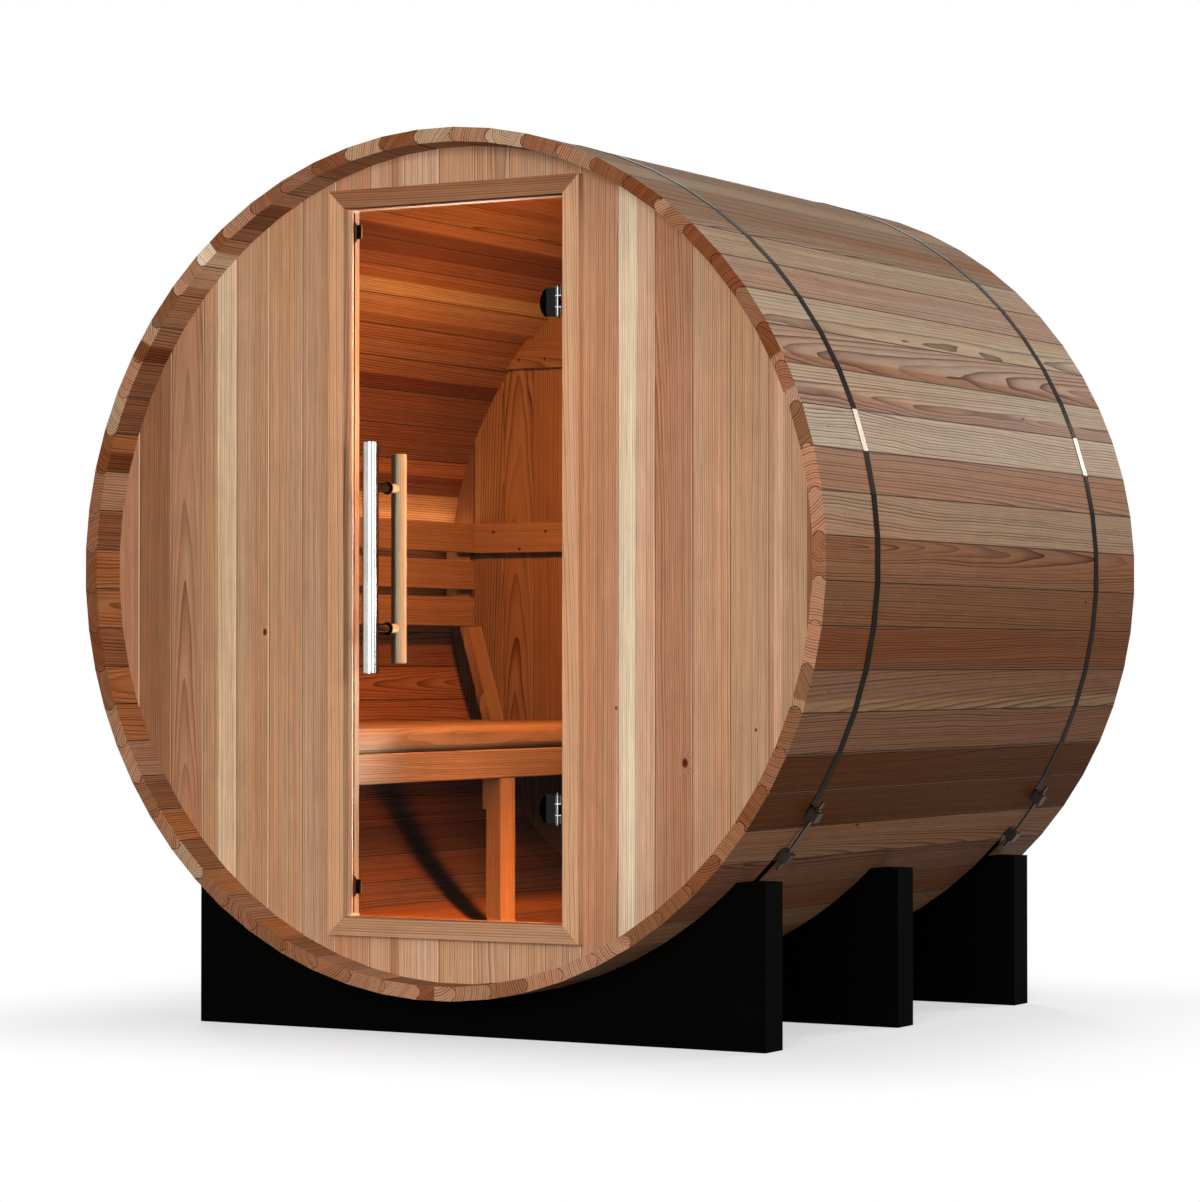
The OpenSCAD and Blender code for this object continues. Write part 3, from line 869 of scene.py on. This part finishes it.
@dataclass
class Barrel:
    """The staves and the two end walls."""

    arcs: tuple[str, ...] = (
        "staves_top", "staves_upper_right", "staves_right", "staves_lower_right",
        "staves_bottom", "staves_lower_left", "staves_left", "staves_upper_left",
    )
    front_walls: tuple[str, ...] = (
        "front_wall_left", "front_wall_right", "front_wall_over_door", "front_wall_under_door",
    )
    back_shift: float = 0.018
    # Index 0 is the top stave and index 16 the side. From index 17 the lower side takes darker tones,
    # darkest (BARK) at 21 and 22. This is partly real tone and partly painted shade.
    right_tones: tuple[Tone, ...] = shades(
        "TAN BROWN UMBER SAND DUSK SAND DUSK DUSK PALE_SAND DUSTY PALE_SAND DUSTY PALE_SAND BLEACHED "
        "BROWN KHAKI UMBER WALNUT CHESTNUT GREY_BROWN GREY_BROWN BARK BARK BROWN GREY_BROWN RUST TAN "
        "BROWN OLIVE UMBER TAN UMBER"
    )
    left_tones: tuple[Tone, ...] = shades(
        "TAN ROSE PINK PINK TAN PEACH RUST PINK HONEY PINK BROWN RUST RUST COPPER PEACH RUSSET "
        "COPPER COPPER RUSSET COPPER COPPER ROSE RUST COPPER UMBER COPPER BROWN COPPER UMBER BROWN "
        "TAN UMBER"
    )
    end_tones: tuple[Tone, ...] = shades(
        "RED_BROWN CHESTNUT WALNUT RUST UMBER BROWN ROSE KHAKI"
    )
    front_tones: tuple[Tone, ...] = shades(
        "ROSE UMBER BROWN TAN TAN TAN PEACH PINK PEACH HONEY TAN PEACH TAN PEACH PINK HONEY ROSE "
        "PEACH TAN TAN UMBER"
    )
    stave_knots: tuple[Knot, ...] = (
        Knot(22.0, 0.0676, -0.0314, 0.006), Knot(23.0, -0.2949, -0.0381, 0.007),
        Knot(12.0, 0.31, 0.012, 0.005), Knot(17.0, 0.52, -0.02, 0.005),
    )
    front_knots: tuple[Knot, ...] = (
        Knot(4.0, 0.860, 0.0338, 0.008), Knot(16.0, 0.5886, 0.0269, 0.010),
        Knot(18.0, 0.6572, 0.0154, 0.004), Knot(14.0, 0.6997, 0.0400, 0.004),
    )
    stave_streaks: tuple[Streak, ...] = (
        Streak(12.0, 0.010, 0.046, Tone.MAUVE), Streak(19.0, 0.02, 0.05, Tone.OLIVE),
        Streak(11.0, 0.02, 0.05, Tone.BROWN), Streak(7.0, -0.05, -0.02, Tone.BROWN),
        Streak(-5.0, -0.05, 0.0, Tone.RUST), Streak(-6.0, -0.05, -0.004, Tone.ROSE),
        Streak(-7.0, -0.05, 0.002, Tone.CREAM), Streak(-8.0, -0.05, -0.016, Tone.PINK),
        Streak(-10.0, -0.05, -0.006, Tone.RED_BROWN), Streak(-13.0, -0.05, 0.002, Tone.RED_BROWN),
    )
    front_streaks: tuple[Streak, ...] = (
        Streak(3.0, -0.005, 0.05, Tone.SAPWOOD), Streak(15.0, -0.05, 0.0, Tone.CREAM),
        Streak(8.0, 0.01, 0.03, Tone.BROWN), Streak(19.0, -0.03, -0.012, Tone.HONEY),
    )

    def dress(self) -> None:
        """Put cedar on every stave and wall board."""
        staves = Cedar(
            "cedar_stave", self.right_tones, self.left_tones, self.end_tones,
            ring=0.0056, spread=0.3, contrast=1.0, sharp=3.0, deep=0.8, line=0.0024, painted_arris_highlight=0.6, fine=1.4,
            knots=self.stave_knots, streaks=self.stave_streaks)
        dress(staves.material(StaveLay()), *self.arcs)
        half = len(self.front_tones) // 2
        left = -(half + 0.5) * BOARD_W
        wall_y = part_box("front_wall_left")[0].y
        front = Cedar(
            "cedar_front", self.front_tones,
            spread=0.6, figure=0.6, deep=0.36, line=0.0007, painted_arris_highlight=0.9, fine=1.3,
            knots=self.front_knots, streaks=self.front_streaks)
        lay = BoardLay(Run.ALONG_Z, (left, wall_y, 0.0), BOARD_W)
        dress(front.material(lay), *self.front_walls)
        back = Cedar(
            "cedar_back", self.front_tones[::-1], ring=0.0056, spread=0.4, sharp=3.0, deep=0.7, line=0.0009)
        inner_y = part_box("back_wall")[0].y
        lay = BoardLay(Run.ALONG_Z, (left + self.back_shift, inner_y, 0.0), BOARD_W)
        dress(back.material(lay), "back_wall")
        log.info("barrel dressed: %d arcs of staves and two walls", len(self.arcs))


@dataclass
class Cradles:
    """The three black planks that carry the barrel."""

    planks: tuple[str, ...] = ("cradle_front", "cradle_middle", "cradle_back")

    def dress(self) -> None:
        """Stain the planks."""
        dress(BlackStain().material(), *self.planks)
        log.info("cradles dressed")


@dataclass
class Hoops:
    """The two bands and their tensioners."""

    bands: tuple[str, ...] = ("hoop_front", "hoop_back")
    tensioners: tuple[str, ...] = ("hoop_front_tensioner", "hoop_back_tensioner")

    def dress(self) -> None:
        """Put steel on the bands, the blocks and the rods."""
        # The band gets a near-black colour so that it reflects little of the white surroundings: a painted
        # darkening that stands in for dark reflections, leaving only the lamps as highlights in it.
        darkened_band = Steel("steel_band", "262220", 0.06, edge="C4C2C0", brushed=(30.0, 900.0, 30.0))
        dress(darkened_band.material(), *self.bands)
        zinc = Steel("zinc_steel", "5A534C", 0.18, edge="C8C4C0")
        dress(zinc.material(), *self.tensioners)
        log.info("hoops dressed")


def single_board(name: str, node: str, run: Run, tone: Tone, seed: float, **more: object) -> None:
    """Dress a node that is one board, or like boards far apart.

    Args:
        name: the material's name.
        node: the CAD node.
        run: the way the grain runs.
        tone: the board's tone.
        seed: sets its figure.
        more: other sizes of the finish.
    """
    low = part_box(node)[0]
    finish = Cedar(name, (tone,), **more)
    dress(finish.material(BoardLay(run, tuple(low), seed=seed)), node)


@dataclass
class DoorFrame:
    """Jambs, head, sill and the mitred trim."""

    boards: tuple[tuple[str, Run, Tone], ...] = (
        ("door_jamb_left", Run.ALONG_Z, Tone.CREAM),
        ("door_jamb_right", Run.ALONG_Z, Tone.TAN),
        ("door_head", Run.ALONG_X, Tone.CREAM),
        ("door_sill", Run.ALONG_X, Tone.TAN),
        ("door_trim_left", Run.ALONG_Z, Tone.AMBER),
        ("door_trim_right", Run.ALONG_Z, Tone.AMBER),
        ("door_trim_top", Run.ALONG_X, Tone.UMBER),
        ("door_trim_bottom", Run.ALONG_X, Tone.TAN),
    )

    def dress(self) -> None:
        """Put cedar on each board of the frame."""
        for k, (node, run, tone) in enumerate(self.boards):
            single_board("cedar_" + node, node, run, tone, 3.3 + 2.7 * k)
        log.info("door frame dressed")


@dataclass
class Door:
    """The glass, its hinges, handle and catches."""

    pin: tuple[float, float] = (0.25225, -0.728)

    def dress(self) -> None:
        """Finish the glass, the metal and the wooden grip."""
        dress(ClearGlass().material(), "door_glass")
        hinges = [
            f"hinge_{level}_{part}"
            for level in ("upper", "lower")
            for part in ("frame_leaf", "glass_plate")
        ]
        low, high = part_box("hinge_lower_frame_leaf"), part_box("hinge_upper_frame_leaf")
        middles = ((high[0].z + high[1].z) / 2, (low[0].z + low[1].z) / 2)
        knuckle_l = (low[1].z - low[0].z) / 3
        dress(HingeMetal("black_metal", self.pin, middles, knuckle_l).material(), *hinges)
        # The dark edge tint darkens the chrome's reflections towards the tube's flanks, a painted darkening
        # of the reflection that stands in for dark surroundings.
        chrome = Steel("chrome", "C9C7C3", 0.02, edge="3A3A3C", brushed=(900.0, 900.0, 900.0))
        dress(chrome.material(), "door_handle_tube")
        single_board(
            "grip_wood", "door_handle_grip", Run.ALONG_Z, Tone.PALE, 7.7,
            ring=0.003, contrast=0.3, rough=0.4)
        dress(Moulded("catch_plastic").material(), "door_catch_upper", "door_catch_lower")
        log.info("door dressed")


@dataclass
class Bench:
    """The bench, the backrest and the battens of the back wall."""

    boards: tuple[tuple[str, Run, Tone], ...] = (
        ("bench_seat", Run.ALONG_Y, Tone.HONEY),
        ("bench_fascia", Run.ALONG_Y_ON_EDGE, Tone.HONEY),
        ("bench_legs", Run.ALONG_Z, Tone.HONEY),
        ("bench_bearers", Run.ALONG_X, Tone.TAN),
        ("backrest_slats", Run.ALONG_Y_ON_EDGE, Tone.PEACH),
        ("backrest_uprights", Run.ALONG_Z_ON_EDGE, Tone.TAN),
        ("backrest_legs", Run.ALONG_Z_ON_EDGE, Tone.HONEY),
        ("back_wall_batten_upper", Run.ALONG_X, Tone.TAN),
        ("back_wall_batten_middle", Run.ALONG_X, Tone.HONEY),
    )

    def dress(self) -> None:
        """Put cedar on the joinery and light on the strip."""
        for k, (node, run, tone) in enumerate(self.boards):
            single_board("cedar_" + node, node, run, tone, 31.7 + 1.9 * k, ring=0.0036)
        dress(WarmDiffuser().material(), "backrest_light_strip")
        log.info("bench and backrest dressed")


class Recipe:
    """A Geometry Nodes tree that sets one small part at many spots."""

    def __init__(self, name: str) -> None:
        """Start the tree with its points going in and its parts coming out."""
        self.tree = bpy.data.node_groups.new(name, "GeometryNodeTree")
        for way in ("INPUT", "OUTPUT"):
            self.tree.interface.new_socket("Geometry", in_out=way, socket_type="NodeSocketGeometry")
        self.inlet = self.tree.nodes.new("NodeGroupInput")

    def size(self, name: str, value: float) -> bpy.types.NodeSocket:
        """Add a named size.

        Args:
            name: the input's name.
            value: its size in metres.

        Returns:
            The socket that gives it.
        """
        made = self.tree.interface.new_socket(name, in_out="INPUT", socket_type="NodeSocketFloat")
        made.default_value = value
        return self.inlet.outputs[name]

    def node(self, kind: str, inputs: dict[Union[str, int], object], **settings: object) -> bpy.types.Node:
        """Add a node and fill its inputs.

        Args:
            kind: the node's type name.
            inputs: a socket to link or a constant for each input.
            settings: attributes to set on it.

        Returns:
            The new node.
        """
        made = self.tree.nodes.new(kind)
        for name, value in settings.items():
            setattr(made, name, value)
        for name, value in inputs.items():
            if isinstance(value, bpy.types.NodeSocket):
                self.tree.links.new(value, made.inputs[name])
            else:
                made.inputs[name].default_value = value
        return made

    def times(self, value: object, factor: float) -> bpy.types.NodeSocket:
        """Return a size multiplied by a number."""
        return self.node("ShaderNodeMath", {0: value, 1: factor}, operation="MULTIPLY").outputs[0]

    def finish(self, part: bpy.types.NodeSocket, material: bpy.types.Material) -> None:
        """Set the part at every point, turned to face the way that the point says.

        Args:
            part: the part's geometry, facing +Z.
            material: its finish.
        """
        facing = self.node("GeometryNodeInputNamedAttribute", {"Name": "facing"}, data_type="FLOAT_VECTOR")
        turn = self.node("FunctionNodeAlignRotationToVector", {"Vector": facing.outputs[0]}, axis="Z")
        points = self.inlet.outputs["Geometry"]
        many = self.node(
            "GeometryNodeInstanceOnPoints",
            {"Points": points, "Instance": part, "Rotation": turn.outputs[0]})
        real = self.node("GeometryNodeRealizeInstances", {"Geometry": many.outputs[0]})
        dressed = self.node("GeometryNodeSetMaterial", {"Geometry": real.outputs[0], "Material": material})
        self.node("NodeGroupOutput", {0: dressed.outputs[0]})

    def make(self, name: str, spots: Sequence[tuple[Point, Point]]) -> bpy.types.Object:
        """Run the tree on a list of spots.

        Args:
            name: the new piece's name.
            spots: the place and the facing of each part.

        Returns:
            One plain mesh piece.
        """
        points = bpy.data.meshes.new(name + "_points")
        points.from_pydata([place for place, _ in spots], [], [])
        facing = points.attributes.new("facing", "FLOAT_VECTOR", "POINT")
        for k, (_, way) in enumerate(spots):
            facing.data[k].vector = way
        seed = bpy.data.objects.new(name + "_points", points)
        bpy.context.scene.collection.objects.link(seed)
        modifier = seed.modifiers.new("recipe", "NODES")
        modifier.node_group = self.tree
        for item in self.tree.interface.items_tree:
            if item.in_out == "INPUT" and item.socket_type == "NodeSocketFloat":
                modifier[item.identifier] = item.default_value
        graph = bpy.context.evaluated_depsgraph_get()
        mesh = bpy.data.meshes.new_from_object(seed.evaluated_get(graph))
        mesh.name = name
        bpy.data.objects.remove(seed)
        piece = bpy.data.objects.new(name, mesh)
        bpy.context.scene.collection.objects.link(piece)
        return piece


@dataclass
class Fittings:
    """Screws of the battens and hinges, nails of the staves and the catches' plates."""

    head_r: float = 0.0042
    head_h: float = 0.0006
    nail_r: float = 0.0022
    nail_h: float = 0.0002
    nail_ys: tuple[float, float] = (-0.716, 0.728)
    nailed: tuple[int, ...] = (2, 4, 7, 9, 11, 13, 15, 17, 19, 22, 25)
    batten_pitch: float = 0.0765
    batten_margin: float = 0.02
    batten_starts: tuple[tuple[str, float, float, float], ...] = (
        ("back_wall_batten_middle", -0.742, 0.052, 0.008),
        ("back_wall_batten_upper", -0.667, 0.022, 0.022),
    )
    leaf_shares: tuple[float, float] = (0.22, 0.78)
    leaf_in: float = 0.003
    leaf_back: float = 0.012
    plate_x: tuple[float, float] = (-0.260, -0.247)
    plate_h: float = 0.031
    plate_t: float = 0.0015

    def screw(self, material: bpy.types.Material) -> Recipe:
        """Return the recipe of a raised head with a cross recess."""
        recipe = Recipe("screw_heads")
        r, h = recipe.size("Head radius", self.head_r), recipe.size("Head height", self.head_h)
        head = recipe.node("GeometryNodeMeshCone", {
            "Vertices": 20, "Radius Top": recipe.times(r, 0.7), "Radius Bottom": r, "Depth": h})
        long, wide = recipe.times(r, 1.1), recipe.times(r, 0.26)
        slot = recipe.node("ShaderNodeCombineXYZ", {0: long, 1: wide, 2: h})
        lift = recipe.node("ShaderNodeCombineXYZ", {2: recipe.times(h, 0.9)})
        cuts = []
        for turn in (0.0, math.pi / 2):
            bar = recipe.node("GeometryNodeMeshCube", {"Size": slot.outputs[0]})
            cuts.append(recipe.node("GeometryNodeTransform", {
                "Geometry": bar.outputs[0], "Translation": lift.outputs[0], "Rotation": (0.0, 0.0, turn)}))
        cross = recipe.node("GeometryNodeMeshBoolean", {}, operation="DIFFERENCE")
        recipe.tree.links.new(head.outputs[0], cross.inputs["Mesh 1"])
        for cut in cuts:
            recipe.tree.links.new(cut.outputs[0], cross.inputs["Mesh 2"])
        recipe.finish(cross.outputs[0], material)
        return recipe

    def nail(self, material: bpy.types.Material) -> Recipe:
        """Return the recipe of a punched nail head."""
        recipe = Recipe("nail_heads")
        r, h = recipe.size("Head radius", self.nail_r), recipe.size("Head height", self.nail_h)
        head = recipe.node("GeometryNodeMeshCone", {
            "Vertices": 12, "Radius Top": recipe.times(r, 0.8), "Radius Bottom": r, "Depth": h})
        recipe.finish(head.outputs[0], material)
        return recipe

    def plate(self, material: bpy.types.Material) -> Recipe:
        """Return the recipe of a flat plate with rounded corners."""
        recipe = Recipe("strike_plates")
        wide = recipe.size("Width", self.plate_x[1] - self.plate_x[0])
        high, thick = recipe.size("Height", self.plate_h), recipe.size("Thickness", self.plate_t)
        outline = recipe.node("GeometryNodeCurvePrimitiveQuadrilateral", {"Width": wide, "Height": high})
        eased = recipe.node(
            "GeometryNodeFilletCurve",
            {"Curve": outline.outputs[0], "Radius": recipe.times(wide, 0.16), "Count": 4}, mode="POLY")
        face = recipe.node("GeometryNodeFillCurve", {"Curve": eased.outputs[0]}, mode="NGONS")
        body = recipe.node("GeometryNodeExtrudeMesh", {"Mesh": face.outputs[0], "Offset Scale": thick})
        back = recipe.node("GeometryNodeFlipFaces", {"Mesh": face.outputs[0]})
        both = recipe.node("GeometryNodeJoinGeometry", {})
        for half in (body, back):
            recipe.tree.links.new(half.outputs[0], both.inputs[0])
        closed = recipe.node("GeometryNodeMergeByDistance", {"Geometry": both.outputs[0], "Distance": 1e-5})
        recipe.finish(closed.outputs[0], material)
        return recipe

    def batten_spots(self) -> list[tuple[Point, Point]]:
        """List the battens' screws, which alternate between two heights."""
        spots = []
        for node, start, first, second in self.batten_starts:
            low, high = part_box(node)
            count = int((high.x - self.batten_margin - start) / self.batten_pitch) + 1
            for k in range(count):
                z = low.z + (second if k % 2 else first)
                spots.append(((start + k * self.batten_pitch, low.y, z), (0.0, -1.0, 0.0)))
        return spots

    def leaf_spots(self) -> list[tuple[Point, Point]]:
        """List the screws of the hinge leaves on the jamb."""
        spots = []
        for node in ("hinge_upper_frame_leaf", "hinge_lower_frame_leaf"):
            low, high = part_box(node)
            for share in self.leaf_shares:
                z = low.z + share * (high.z - low.z)
                spots.append(((high.x - self.leaf_in, high.y - self.leaf_back, z), (-1.0, 0.0, 0.0)))
        return spots

    def nail_spots(self) -> list[tuple[Point, Point]]:
        """List the nails that hold the staves to the end walls."""
        spots = []
        for side in (-1, 1):
            for index in self.nailed:
                turn = side * index * 2 * math.pi / STAVE_COUNT
                way = (math.sin(turn), 0.0, math.cos(turn))
                for y in self.nail_ys:
                    place = (OUTER_FLAT_R * way[0], y, AXIS_Z + OUTER_FLAT_R * way[2])
                    spots.append((place, way))
        return spots

    def plate_spots(self) -> list[tuple[Point, Point]]:
        """List the plates on the glass that face the catches."""
        x = (self.plate_x[0] + self.plate_x[1]) / 2
        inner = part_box("door_glass")[1].y
        spots = []
        for node in ("door_catch_upper", "door_catch_lower"):
            low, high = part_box(node)
            spots.append(((x, inner, (low.z + high.z) / 2), (0.0, 1.0, 0.0)))
        return spots

    def build(self) -> None:
        """Make every fitting and fix it to its body."""
        zinc = Steel("fitting_steel", "5E5852", 0.25, edge="C8C4C0").material()
        dark = Moulded("fitting_black", "0E0B0A").material()
        pale = Steel("strike_steel", "DCC8BE", 0.3, edge="F0E8E0").material()
        work = (
            ("batten_screws", self.screw(zinc), self.batten_spots(), "sauna", "zinc_steel"),
            ("hinge_screws", self.screw(dark), self.leaf_spots(), "sauna", "black_metal"),
            ("stave_nails", self.nail(dark), self.nail_spots(), "sauna", "zinc_steel"),
            ("strike_plates", self.plate(pale), self.plate_spots(), "door", "zinc_steel"),
        )
        for name, recipe, spots, body, slot in work:
            piece = recipe.make(name, spots)
            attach(piece, body)
            log.info("%s: %d made, %d faces", name, len(spots), len(piece.data.polygons))


@dataclass(frozen=True)
class Lamp:
    """A soft rectangular lamp that the camera doesn't see, tall where it isn't square."""

    name: str
    at: Point
    to: Point
    size: float
    watts: float
    colour: tuple[float, float, float] = (1.0, 1.0, 1.0)
    spread: float = 180.0
    tall: float = 0.0


@dataclass
class Studio:
    """The floor, the white surroundings, the lamps and the camera."""

    floor_half: float = 40.0
    footprint: tuple[float, float] = (0.70, 0.66)
    fade_near: float = 0.02
    fade_far: float = 0.9
    least_fade: float = 0.55
    camera_at: Point = (4.2446, -7.4930, 0.7876)
    yaw: float = 0.522
    pitch: float = 0.017
    lens: float = 113.26
    sensor: float = 36.0
    far: float = 200.0
    sky: float = 0.27
    leak: float = 0.06
    lamps: tuple[Lamp, ...] = (
        Lamp("key", (2.6, -10.4, 2.0), (0.0, -0.7, 1.0), 4.2, 930.0),
        Lamp("side", (5.4, -2.7, 1.7), (0.7, -0.3, 1.0), 1.6, 105.0),
        Lamp("back", (-6.5, 7.0, 2.4), (-0.3, 0.3, 1.0), 3.0, 700.0),
        Lamp("facet_front", (2.48, 3.8, 2.7), (0.87, -0.57, 1.27), 0.4, 32.0),
        Lamp("facet_back", (1.89, 3.8, 2.17), (0.87, 0.57, 1.27), 0.4, 28.0),
        Lamp("cabin_top", (0.3, -0.3, 1.72), (-0.15, 0.0, 0.8), 0.25, 22.0, (1.0, 0.33, 0.055)),
        Lamp("cabin_low", (0.6, -0.45, 0.95), (-0.3, -0.56, 0.85), 0.12, 1.75, (1.0, 0.78, 0.56), 120.0),
        Lamp(
            "door_edge", (0.2, -0.692, 1.0), (-0.3, -0.692, 1.0),
            0.02, 1.3, (0.75, 0.88, 1.0), 50.0, tall=1.5),
        Lamp(
            "door_head", (0.0, -0.692, 1.3), (0.0, -0.692, 1.8),
            0.4, 0.5, (0.8, 0.9, 1.0), 60.0, tall=0.02),
        Lamp(
            "cabin_floor", (0.5, -0.42, 0.42), (-0.05, -0.3, 0.05),
            0.14, 5.0, (1.0, 0.32, 0.07), 90.0),
    )

    def rays(self, graph: Graph) -> tuple[Term, Term]:
        """Tell apart the rays that reach the surroundings.

        Args:
            graph: the graph of the world or the floor.

        Returns:
            1 for rays that see the white background, and 1 for light that falls into the cabin.
        """
        path = graph.node("ShaderNodeLightPath")
        camera, glossy, through, spread, passed = (
            Term(graph, path.outputs[name])
            for name in (
                "Is Camera Ray", "Is Glossy Ray", "Is Transmission Ray",
                "Diffuse Depth", "Transmission Depth",
            )
        )
        seen = graph.math("MAXIMUM", graph.math("MAXIMUM", camera, glossy), through)
        direct = graph.math("LESS_THAN", spread, 0.5) * graph.math("LESS_THAN", passed, 4.5)
        inward = graph.math("GREATER_THAN", passed, 0.5) * graph.math("GREATER_THAN", spread, 0.5)
        return seen * direct, inward

    def world(self) -> None:
        """Make the surroundings white to look at and softer as light."""
        made = bpy.data.worlds.new("studio")
        made.use_nodes = True
        bpy.context.scene.world = made
        g = Graph(made.node_tree)
        back = g.node("ShaderNodeBackground")
        back.inputs["Color"].default_value = (1.0, 1.0, 1.0, 1.0)
        seen, inward = self.rays(g)
        soft = (1.0 - inward * (1.0 - self.leak)) * self.sky
        g.put(back.inputs["Strength"], seen * (1.0 - soft) + soft)
        output = g.node("ShaderNodeOutputWorld")
        g.put(output.inputs["Surface"], Term(g, back.outputs[0]))

    def floor(self) -> None:
        """Lay a pale floor that fades to white away from the cradles."""
        half = self.floor_half
        corners = [(-half, -half, 0), (half, -half, 0), (half, half, 0), (-half, half, 0)]
        mesh = bpy.data.meshes.new("studio_floor")
        mesh.from_pydata(corners, [], [(0, 1, 2, 3)])
        piece = bpy.data.objects.new("studio_floor", mesh)
        bpy.context.scene.collection.objects.link(piece)
        made, g = new_material("studio_floor")
        x, y, z = g.place()
        beyond = [
            g.math("MAXIMUM", g.math("ABSOLUTE", place) - edge, 0.0)
            for place, edge in zip((x, y), self.footprint)
        ]
        reach = g.math("SQRT", beyond[0] * beyond[0] + beyond[1] * beyond[1])
        seen, inward = self.rays(g)
        rise = g.ramp(self.fade_near, self.fade_far, reach) * (1.0 - self.least_fade)
        fade = (rise + self.least_fade) * seen
        pale = g.node("ShaderNodeBsdfDiffuse")
        tone = g.mix(g.noise(x * 3, y * 3, z), linear("F4F4F4"), linear("F8F8F8"))
        g.put(pale.inputs["Color"], g.tint(tone, linear("4A4A4A"), 1.0 - seen))
        glow = g.node("ShaderNodeEmission")
        both = g.node("ShaderNodeMixShader")
        g.put(both.inputs[0], fade)
        g.put(both.inputs[1], Term(g, pale.outputs[0]))
        g.put(both.inputs[2], Term(g, glow.outputs[0]))
        g.show(Term(g, both.outputs[0]))
        mesh.materials.append(made)

    def hang(self, lamp: Lamp) -> None:
        """Hang one lamp, dimmed for light that has passed the glass into the cabin.

        Args:
            lamp: its place, size, power and colour.
        """
        data = bpy.data.lights.new(lamp.name, "AREA")
        data.energy = lamp.watts
        data.shape = "RECTANGLE"
        data.size = lamp.size
        data.size_y = lamp.tall or lamp.size
        data.color = lamp.colour
        data.spread = math.radians(lamp.spread)
        data.use_nodes = True
        g = Graph(data.node_tree)
        glow = g.node("ShaderNodeEmission")
        g.put(glow.inputs["Strength"], 1.0 - self.rays(g)[1] * (1.0 - self.leak))
        output = g.node("ShaderNodeOutputLight")
        g.put(output.inputs["Surface"], Term(g, glow.outputs[0]))
        piece = bpy.data.objects.new(lamp.name, data)
        bpy.context.scene.collection.objects.link(piece)
        piece.location = lamp.at
        aim = Vector(lamp.to) - Vector(lamp.at)
        piece.rotation_euler = aim.to_track_quat("-Z", "Y").to_euler()
        piece.visible_camera = False

    def camera(self) -> None:
        """Stand the camera where the photograph was taken."""
        data = bpy.data.cameras.new("camera")
        data.lens = self.lens
        data.sensor_width = self.sensor
        data.clip_end = self.far
        piece = bpy.data.objects.new("camera", data)
        piece.location = self.camera_at
        piece.rotation_euler = (math.pi / 2 + self.pitch, 0.0, self.yaw)
        bpy.context.scene.collection.objects.link(piece)
        bpy.context.scene.camera = piece

    def build(self) -> None:
        """Set up everything that isn't the sauna."""
        bpy.context.scene.view_settings.view_transform = "Standard"
        self.world()
        self.floor()
        for lamp in self.lamps:
            self.hang(lamp)
        self.camera()
        log.info("studio built")


def main() -> None:
    """Build and dress the sauna piece by piece."""
    logging.basicConfig(level=logging.INFO, format="%(name)s: %(message)s")
    Studio().build()
    Barrel().dress()
    Cradles().dress()
    Hoops().dress()
    DoorFrame().dress()
    Door().dress()
    Bench().dress()
    Fittings().build()


if __name__ == "__main__":
    main()
